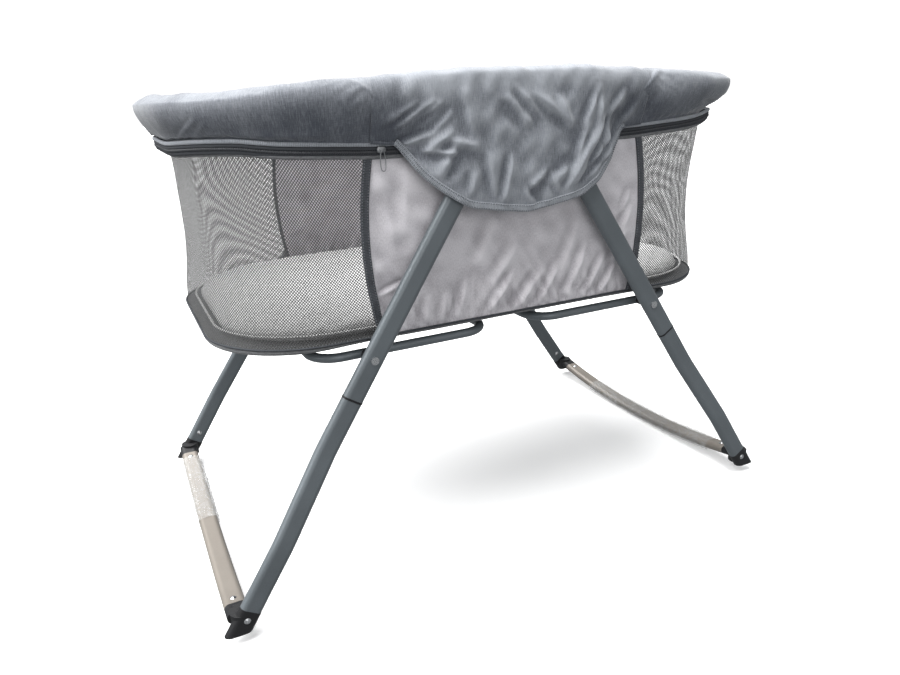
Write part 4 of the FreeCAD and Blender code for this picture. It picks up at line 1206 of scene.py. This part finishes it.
class BASSINET_OT_zip(bpy.types.Operator):
    """Zip round the wall: tape, two rows of piping, the coil, and the slider with its pull"""

    bl_idname = "bassinet.zip"
    bl_label = "Zip"

    def execute(self, context):
        s = sizes()
        low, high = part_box("zip_tape")[0][2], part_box("zip_tape")[1][2]
        middle = (low + high) / 2
        woven, weave_cloth = finish("zip_cloth", zip_cloth), finish("base_weave", base_cloth)
        tape = hoop("zip_tape_cloth", middle, 0.0014, oval(0.0022, high - low, 14, 3.5), woven)
        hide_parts("zip_tape")
        pipe = oval(s.piping, s.piping, 12)
        trims = [
            hoop("zip_piping_upper", high + 0.0002, 0.0030, pipe * (1.05, 1.25), flap_tape(), 0.0003),
            hoop("zip_piping_lower", low - 0.0004, 0.0024, pipe * (0.9, 1.0), weave_cloth, 0.0003),
            hoop("zip_lap", high - 0.0050, 0.0030, oval(0.0020, 0.0034, 10, 3), woven, 0.0002),
            self.coil(middle - 0.0014),
        ]
        for made in (tape, *trims):
            crumples(made, "hub")
        self.slider()
        return {"FINISHED"}

    @staticmethod
    def coil(height):
        """Row of teeth: an oval whose size swings along the route once a pitch."""
        teeth = int(perimeter(*wall_outline(height)) / sizes().coil_pitch)
        swing = 1 + 0.35 * np.cos(2 * math.pi * np.arange(teeth * 4) / 4)
        profile = oval(0.0022, 0.0034, 8)[None] * swing[:, None, None]
        nylon = finish("zip_nylon", coil_plastic)
        return hoop("zip_coil", height, 0.0030, profile, nylon, count=teeth * 4)

    @staticmethod
    def slider():
        """Slider body as a rounded block that narrows along X, its bail, and the hanging wire loop."""
        metal = bright_metal(tuple(colours().zip_metal), "zip_plating", 0.30)
        (x0, y0, z0), (x1, y1, z1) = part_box("zip_slider")
        middle = middle_of("zip_slider")
        along = np.linspace(-1, 1, 15)
        taper = np.sqrt(np.clip(1 - np.abs(along) ** 5, 0.02, 1)) * (0.86 - 0.14 * along)
        profile = oval(y1 - y0, z1 - z0, 20, 4)[None] * taper[:, None, None]
        route = middle + along[:, None] * np.array([(x1 - x0) / 2, 0, 0])
        out, up = (np.broadcast_to(way, route.shape) for way in (FORWARD, UP))
        block = carry(route, out, up, profile)
        body = piece("zip_slider_body", block, metal, round_columns=True, caps=True, flip=True)
        arch = np.linspace(0, math.pi, 17)
        line = middle + np.stack([0.0034 * np.cos(arch), -0.0016 - 0.0016 * np.sin(arch), 0 * arch], -1)
        bail = tube("zip_slider_bail", line, 0.0011, metal)
        low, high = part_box("zip_pull")
        turn = np.linspace(0, 2 * math.pi, 60, endpoint=False)
        half_wide, half_tall = (high[0] - low[0]) / 2 - 0.0007, (high[2] - low[2]) / 2 - 0.0007
        flare = 1 + 0.18 * np.sin(-turn)
        loop = np.stack(
            [
                half_wide * flare * np.sign(np.cos(turn)) * abs(np.cos(turn)) ** 0.75,
                0.0004 * np.cos(2 * turn),
                half_tall * np.sign(np.sin(turn)) * abs(np.sin(turn)) ** 0.75,
            ],
            -1,
        )
        pull = tube("zip_pull_loop", middle_of("zip_pull") + loop, 0.0014, metal, round_route=True)
        for made, carrier in ((body, "zip_runner"), (bail, "zip_runner"), (pull, "zip_tab")):
            crumples(made, carrier)
        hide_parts("zip_slider")
        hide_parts("zip_pull")


def middle_of(node):
    """Middle of a node's box."""
    return np.mean(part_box(node), axis=0)


def tube(name, line, diameter, made_finish, round_route=False, count=10):
    """Round rod along a line: a circle carried square to the line's direction."""
    if round_route:
        along = unit(np.roll(line, -1, 0) - np.roll(line, 1, 0))
    else:
        along = unit(np.gradient(line, axis=0))
    side = FORWARD if abs(along[:, 1]).max() < 0.8 else UP
    out = unit(side - along * (along @ side)[:, None])
    up = np.cross(along, out)
    grid = carry(line, out, up, oval(diameter, diameter, count))
    return piece(name, grid, made_finish, round_rows=round_route, round_columns=True, caps=not round_route)


# ---------------------------------------------------------------- base

# lower tray's section: share of the outline's size, outward reach and height, from the middle above to below
BASE_SECTION = (
    (0.05, 0.0, 0.3690), (0.70, 0.0, 0.3692), (0.96, -0.002, 0.3694), (1.0, -0.0025, 0.3700),
    (1.0, 0.0006, 0.3706), (1.0, 0.0022, 0.3696), (1.0, 0.0024, 0.3668), (1.0, 0.0008, 0.3640),
    (1.0, -0.0050, 0.3622), (1.0, -0.0150, 0.3610), (0.88, 0.0, 0.3585), (0.84, 0.0, 0.3566),
    (0.05, 0.0, 0.3565),
)


class BASSINET_OT_base(bpy.types.Operator):
    """Cloth cover of the floor board, with piping above its band"""

    bl_idname = "bassinet.base"
    bl_label = "Base Cover"

    def execute(self, context):
        s = sizes()
        outline = wall_outline(s.wall_low)
        along = np.linspace(0, perimeter(*outline), 560, endpoint=False)[:, None]
        share, outward, z = np.array(BASE_SECTION).T
        fine = np.linspace(0, len(z) - 1, 61)
        share, outward, z = (np.interp(fine, np.arange(len(z)), part)[None] for part in (share, outward, z))
        x, y, _ = ring(along, *outline, outward)
        sag = 0.0006 * np.sin(along / 0.047) * (z < 0.3665) * (share == 1)
        tuck = 0.0030 * (1 - smooth_step(0.19, 0.33, abs(x))) * smooth_step(0.3706, 0.3640, z) * (share == 1)
        grid = np.stack([drawn_in(x, z) * share, y * share, z + sag + tuck], -1)
        cover = piece("base_cover_cloth", grid, finish("base_weave", base_cloth), round_rows=True)
        close_middles(cover, grid.shape)
        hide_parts("base_cover")
        cord = oval(0.0030, 0.0030, 10)
        woven = finish("zip_cloth", zip_cloth)
        piping = hoop("base_piping_upper", s.wall_low + 0.0002, 0.0020, cord, woven, 0.0002)
        for made in (cover, piping):
            crumples(made, "hub")
        return {"FINISHED"}


def close_middles(made, shape):
    """Closes the small openings at the middle of the top and of the underside."""
    rows, columns = shape[:2]
    mesh = made.data
    index = np.arange(rows * columns).reshape(rows, columns)
    faces = [list(face.vertices) for face in mesh.polygons]
    faces += [index[:, 0].tolist(), index[::-1, -1].tolist()]
    points = points_of(mesh)
    mesh.clear_geometry()
    mesh.from_pydata(points, [], faces)
    mesh.polygons.foreach_set("use_smooth", np.ones(len(mesh.polygons), bool))
    mesh.update()


# ---------------------------------------------------------------- mattress


class BASSINET_OT_mattress(bpy.types.Operator):
    """Padded mattress with a quilted top and a corded side seam"""

    bl_idname = "bassinet.mattress"
    bl_label = "Mattress"

    def execute(self, context):
        (x0, y0, z0), (x1, y1, z1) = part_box("mattress")
        half_length, half_width, corner = (x1 - x0) / 2 - 0.005, (y1 - y0) / 2 - 0.005, 0.146
        section = np.array(
            [
                (0.04, 0.0, z1 - 0.004), (0.55, 0.0, z1 - 0.004), (0.86, 0.0, z1 - 0.004),
                (1.0, -0.026, z1 - 0.006), (1.0, -0.013, z1 - 0.010), (1.0, -0.005, z1 - 0.016),
                (1.0, 0.0, z0 + 0.011), (1.0, -0.004, z0 + 0.003), (0.90, 0.0, z0 + 0.001),
                (0.55, 0.0, z0 + 0.001), (0.04, 0.0, z0 + 0.001),
            ]
        )
        outline = (half_length, half_width, corner)
        along = np.linspace(0, perimeter(*outline), 200, endpoint=False)[:, None]
        share, outward, z = (part[None] for part in section.T)
        x, y, _ = ring(along, *outline, outward)
        grid = np.stack([x * share, y * share, z + 0 * x], -1)
        knit = finish("mattress_knit", mattress_cloth)
        made = piece("mattress_padded", grid, knit, round_rows=True)
        close_middles(made, grid.shape)
        remesh = made.modifiers.new("remesh", "REMESH")
        remesh.mode, remesh.voxel_size = "VOXEL", 0.006
        view = made.evaluated_get(bpy.context.evaluated_depsgraph_get())
        mesh = bpy.data.meshes.new_from_object(view)
        made.modifiers.remove(remesh)
        made.data = mesh
        low = points_of(mesh)[:, 2] < z0 + 0.003
        settle(made, 4.0, 0.004, low)
        self.sew(made, (z0 + z1) / 2, z0, outline)
        mesh.polygons.foreach_set("use_smooth", np.ones(len(mesh.polygons), bool))
        if not mesh.materials:
            mesh.materials.append(knit)
        smooth = made.modifiers.new("smooth", "SUBSURF")
        smooth.levels = smooth.render_levels = 1
        cord = self.cord(z0 + 0.012, outline, knit)
        for part in (made, cord):
            crumples(part, "mattress_pad")
        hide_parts("mattress")
        return {"FINISHED"}

    @staticmethod
    def sew(made, middle, bottom, outline):
        """Quilts the top with diamond channels, and keeps the underside flat on the board."""
        co = points_of(made.data)
        top = smooth_step(middle + 0.006, middle + 0.013, co[:, 2])
        pitch = 0.062
        diagonals = (co[:, 0] + co[:, 1], co[:, 0] - co[:, 1])
        near = np.minimum(*(abs((line / pitch + 0.5) % 1 - 0.5) * pitch / math.sqrt(2) for line in diagonals))
        inside = smooth_step(1.0, 0.94, np.maximum(abs(co[:, 0]) / outline[0], abs(co[:, 1]) / outline[1]))
        co[:, 2] -= top * inside * 0.0024 * np.exp(-((near / 0.005) ** 2))
        co[:, 2] = np.maximum(co[:, 2], bottom)
        made.data.vertices.foreach_set("co", co.reshape(-1).astype(np.float32))
        made.data.update()

    @staticmethod
    def cord(height, outline, knit):
        """Cord round the side, with a slight waver."""
        along = np.linspace(0, perimeter(*outline), 500, endpoint=False)
        x, y, facing = ring(along, *outline, 0.0016)
        route = np.stack([x, y, height + 0.0006 * np.sin(along / 0.06)], -1)
        grid = carry(route, *outward_and_up(facing), oval(0.0034, 0.0030, 10))
        return piece("mattress_seam_cord", grid, knit, round_rows=True, round_columns=True, flip=True)


# ---------------------------------------------------------------- stand

NODE_FINISHES = (  # words in a node's name and its finish; the first row that fits counts
    (("screw", "pins"), "steel"),
    (("upper_leg", "lower_leg", "support_loop", "top_rail"), "frame"),
    (("rocker",), "rocker"),
    (("foot", "joint_ring", "loop_spacer", "end_plugs"), "plastic"),
    (("hub_inner", "hub_outer", "hub_core", "button"), "hub"),
)


class BASSINET_OT_stand(bpy.types.Operator):
    """Finishes of the stand's tubes, castings, hubs and screws"""

    bl_idname = "bassinet.stand"
    bl_label = "Stand Finishes"

    def execute(self, context):
        c = colours()
        finishes = {
            "frame": metallic_paint(tuple(c.frame_paint), "leg_satin_paint"),
            "rocker": metallic_paint(tuple(c.rocker_paint), "rocker_satin_paint", 0.9),
            "plastic": moulded_plastic(tuple(c.plastic), "foot_moulding", 0.42),
            "hub": moulded_plastic(tuple(c.hub_plastic), "hub_moulding", 0.5),
            "steel": bright_metal(tuple(c.steel), "screw_plating", 0.16),
        }
        for name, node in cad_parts.items():
            kinds = [kind for words, kind in NODE_FINISHES if any(word in name for word in words)]
            for slot in node.material_slots if kinds else ():
                slot.material = finishes[kinds[0]]
            if kinds and not node.material_slots:
                raise RuntimeError(f"node {name} has no material slot")
        return {"FINISHED"}


ROCKER_BEND = 1.5  # radius of the rockers' soles
ROCKER_REACH = 0.449  # distance of a rocker from the middle
ROCKER_WIDE, ROCKER_THICK = 0.030, 0.015
FILM_RUNS = (  # side, and where its film starts and ends along Y
    ("left", -1, 0.022, 0.232),
    ("right", 1, -0.214, 0.150),
)


class BASSINET_OT_rocker_film(bpy.types.Operator):
    """Crinkled clear film round part of each rocker"""

    bl_idname = "bassinet.rocker_film"
    bl_label = "Rocker Film"

    def execute(self, context):
        radius = ROCKER_BEND - ROCKER_THICK / 2
        gap = sizes().film_gap
        for side, sign, low, high in FILM_RUNS:
            y = np.linspace(low, high, int((high - low) / 0.0022))
            bend = np.arcsin(y / radius)
            z = ROCKER_BEND - radius * np.cos(bend)
            route = np.stack([np.full_like(y, sign * ROCKER_REACH), y, z], -1)
            out = np.broadcast_to(np.array([1.0, 0.0, 0.0]), route.shape)
            up = np.stack([0 * bend, -np.sin(bend), np.cos(bend)], -1)
            turn = np.linspace(-0.55 * math.pi, 1.53 * math.pi, 56)
            c, t = np.cos(turn), np.sin(turn)
            squarish = np.stack([np.sign(part) * abs(part) ** 0.6 for part in (c, t)], -1)
            profile = squarish * (ROCKER_WIDE / 2 + gap, ROCKER_THICK / 2 + gap)
            profile = profile * np.linspace(1.0, 1.05, 56)[:, None]
            lie = y[:, None]
            slack = abs(ripples(lie, turn * 0.012, 0.018, 0.005, 41 + sign)) * 0.0008
            slack = slack + abs(ripples(lie + turn * 0.004, turn * 0.012, 0.05, 0.010, 51 + sign)) * 0.0006
            grid = carry(route, out, up, profile[None] * (1 + slack / 0.012)[..., None])
            grid[..., 2] = np.maximum(grid[..., 2], 0.0002)
            film = piece(f"{side}_rocker_film", grid, finish("clear_film", clear_film))
            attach(film, f"{side}_rocker_frame")
        return {"FINISHED"}


# ---------------------------------------------------------------- studio


def placed_at(x, y, z, place):
    """Matrix whose columns are three axes and a place."""
    return Matrix([(*row, at) for row, at in zip(np.array([x, y, z]).T, place)] + [(0, 0, 0, 1)])


CAMERA_PLACE = (-0.5099, -1.1053, 0.6741)
CAMERA_TURN = (25.04, 18.82, -2.61)  # degrees: to the right of straight ahead, down, and rolled
CAMERA_LENS = 28.5
DOME_RADIUS = 45
FLOOR_HALF = 30


class BASSINET_OT_studio(bpy.types.Operator):
    """Pale floor, soft lights and the camera"""

    bl_idname = "bassinet.studio"
    bl_label = "Studio"

    def execute(self, context):
        scene = context.scene
        scene.view_settings.view_transform = "Standard"
        flat = np.linspace(-FLOOR_HALF, FLOOR_HALF, 41)
        wide, deep = np.meshgrid(flat, flat)
        ground = np.stack([wide, deep, 0 * wide], -1)
        floor = piece("studio_floor", ground, finish("studio_floor", studio_floor), flip=True)
        turn = np.linspace(0, 2 * math.pi, 96, endpoint=False)[:, None]
        climb = np.linspace(-math.pi / 2 + 0.01, math.pi / 2 - 0.01, 40)[None]
        level = np.cos(climb)
        dome = np.stack([np.cos(turn) * level, np.sin(turn) * level, np.sin(climb) + 0 * turn], -1)
        white = finish("studio_backdrop", studio_backdrop)
        backdrop = piece("studio_backdrop", dome * DOME_RADIUS, white, round_rows=True)
        for made in (floor, backdrop):
            made.visible_diffuse = made.visible_glossy = made.visible_transmission = False
        backdrop.visible_shadow = False
        world = bpy.data.worlds.new("studio_world")
        world.use_nodes = True
        sky = world.node_tree.nodes["Background"].inputs
        sky["Color"].default_value, sky["Strength"].default_value = (0.95, 0.98, 1.0, 1), 0.36
        scene.world = world
        overhead = bpy.data.lights.new("overhead", "SUN")
        overhead.energy, overhead.angle = 7.5, math.radians(70)
        self.lamp(overhead, (-0.9, 0.35, 2.6), (0.0, 0.0, 0.4))
        self.softbox("left", (-2.6, -0.9, 1.6), (0.0, 0.0, 0.4), 1.2, 2.0, 18)
        self.softbox("front", (-0.4, -3.4, 1.5), (0.0, 0.0, 0.45), 2.4, 1.4, 25)
        camera = bpy.data.cameras.new("camera")
        camera.lens, camera.sensor_width = CAMERA_LENS, 36.0
        eye = bpy.data.objects.new("camera", camera)
        scene.collection.objects.link(eye)
        yaw, pitch, roll = (math.radians(angle) for angle in CAMERA_TURN)
        ahead = np.array([math.sin(yaw), math.cos(yaw), -math.tan(pitch)]) * math.cos(pitch)
        right = np.array([math.cos(yaw), -math.sin(yaw), 0.0])
        up = np.cross(right, ahead)
        x = right * math.cos(roll) + up * math.sin(roll)
        y = up * math.cos(roll) - right * math.sin(roll)
        eye.matrix_world = placed_at(x, y, -ahead, CAMERA_PLACE)
        scene.camera = eye
        return {"FINISHED"}

    @staticmethod
    def softbox(name, place, target, width, height, power):
        """Rectangular soft light at a place, turned to a target."""
        light = bpy.data.lights.new(name, "AREA")
        light.shape, light.size, light.size_y, light.energy = "RECTANGLE", width, height, power
        BASSINET_OT_studio.lamp(light, place, target)

    @staticmethod
    def lamp(light, place, target):
        """Object of a light at a place, turned to a target."""
        box = bpy.data.objects.new(light.name, light)
        bpy.context.scene.collection.objects.link(box)
        away = unit(np.array(place) - np.array(target))
        across = unit(np.cross([0.0, 0.001, 1.0], away))
        up = np.cross(away, across)
        box.matrix_world = placed_at(across, up, away, place)


# ---------------------------------------------------------------- panel and order of work

OPERATORS = (
    BASSINET_OT_studio,
    BASSINET_OT_stand,
    BASSINET_OT_rocker_film,
    BASSINET_OT_base,
    BASSINET_OT_mattress,
    BASSINET_OT_side_panels,
    BASSINET_OT_end_meshes,
    BASSINET_OT_zip,
    BASSINET_OT_rim_cover,
    BASSINET_OT_hub_flaps,
)


class BASSINET_PT_panel(bpy.types.Panel):
    """Lists the pieces, with their sizes and colours"""

    bl_idname = "BASSINET_PT_panel"
    bl_label = "Bassinet"
    bl_space_type = "VIEW_3D"
    bl_region_type = "UI"
    bl_category = "Bassinet"

    def draw(self, context):
        for operator in OPERATORS:
            self.layout.operator(operator.bl_idname)
        for group in (context.scene.bassinet_sizes, context.scene.bassinet_colours):
            for name in type(group).__annotations__:
                self.layout.prop(group, name)


CLASSES = (BassinetSizes, BassinetColours, *OPERATORS, BASSINET_PT_panel)


def register():
    for made in CLASSES:
        bpy.utils.register_class(made)
    bpy.types.Scene.bassinet_sizes = bpy.props.PointerProperty(type=BassinetSizes)
    bpy.types.Scene.bassinet_colours = bpy.props.PointerProperty(type=BassinetColours)


def unregister():
    del bpy.types.Scene.bassinet_colours
    del bpy.types.Scene.bassinet_sizes
    for made in reversed(CLASSES):
        bpy.utils.unregister_class(made)


def main():
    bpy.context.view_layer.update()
    register()
    for operator in OPERATORS:
        group, name = operator.bl_idname.split(".")
        getattr(getattr(bpy.ops, group), name)()


if __name__ == "__main__":
    main()
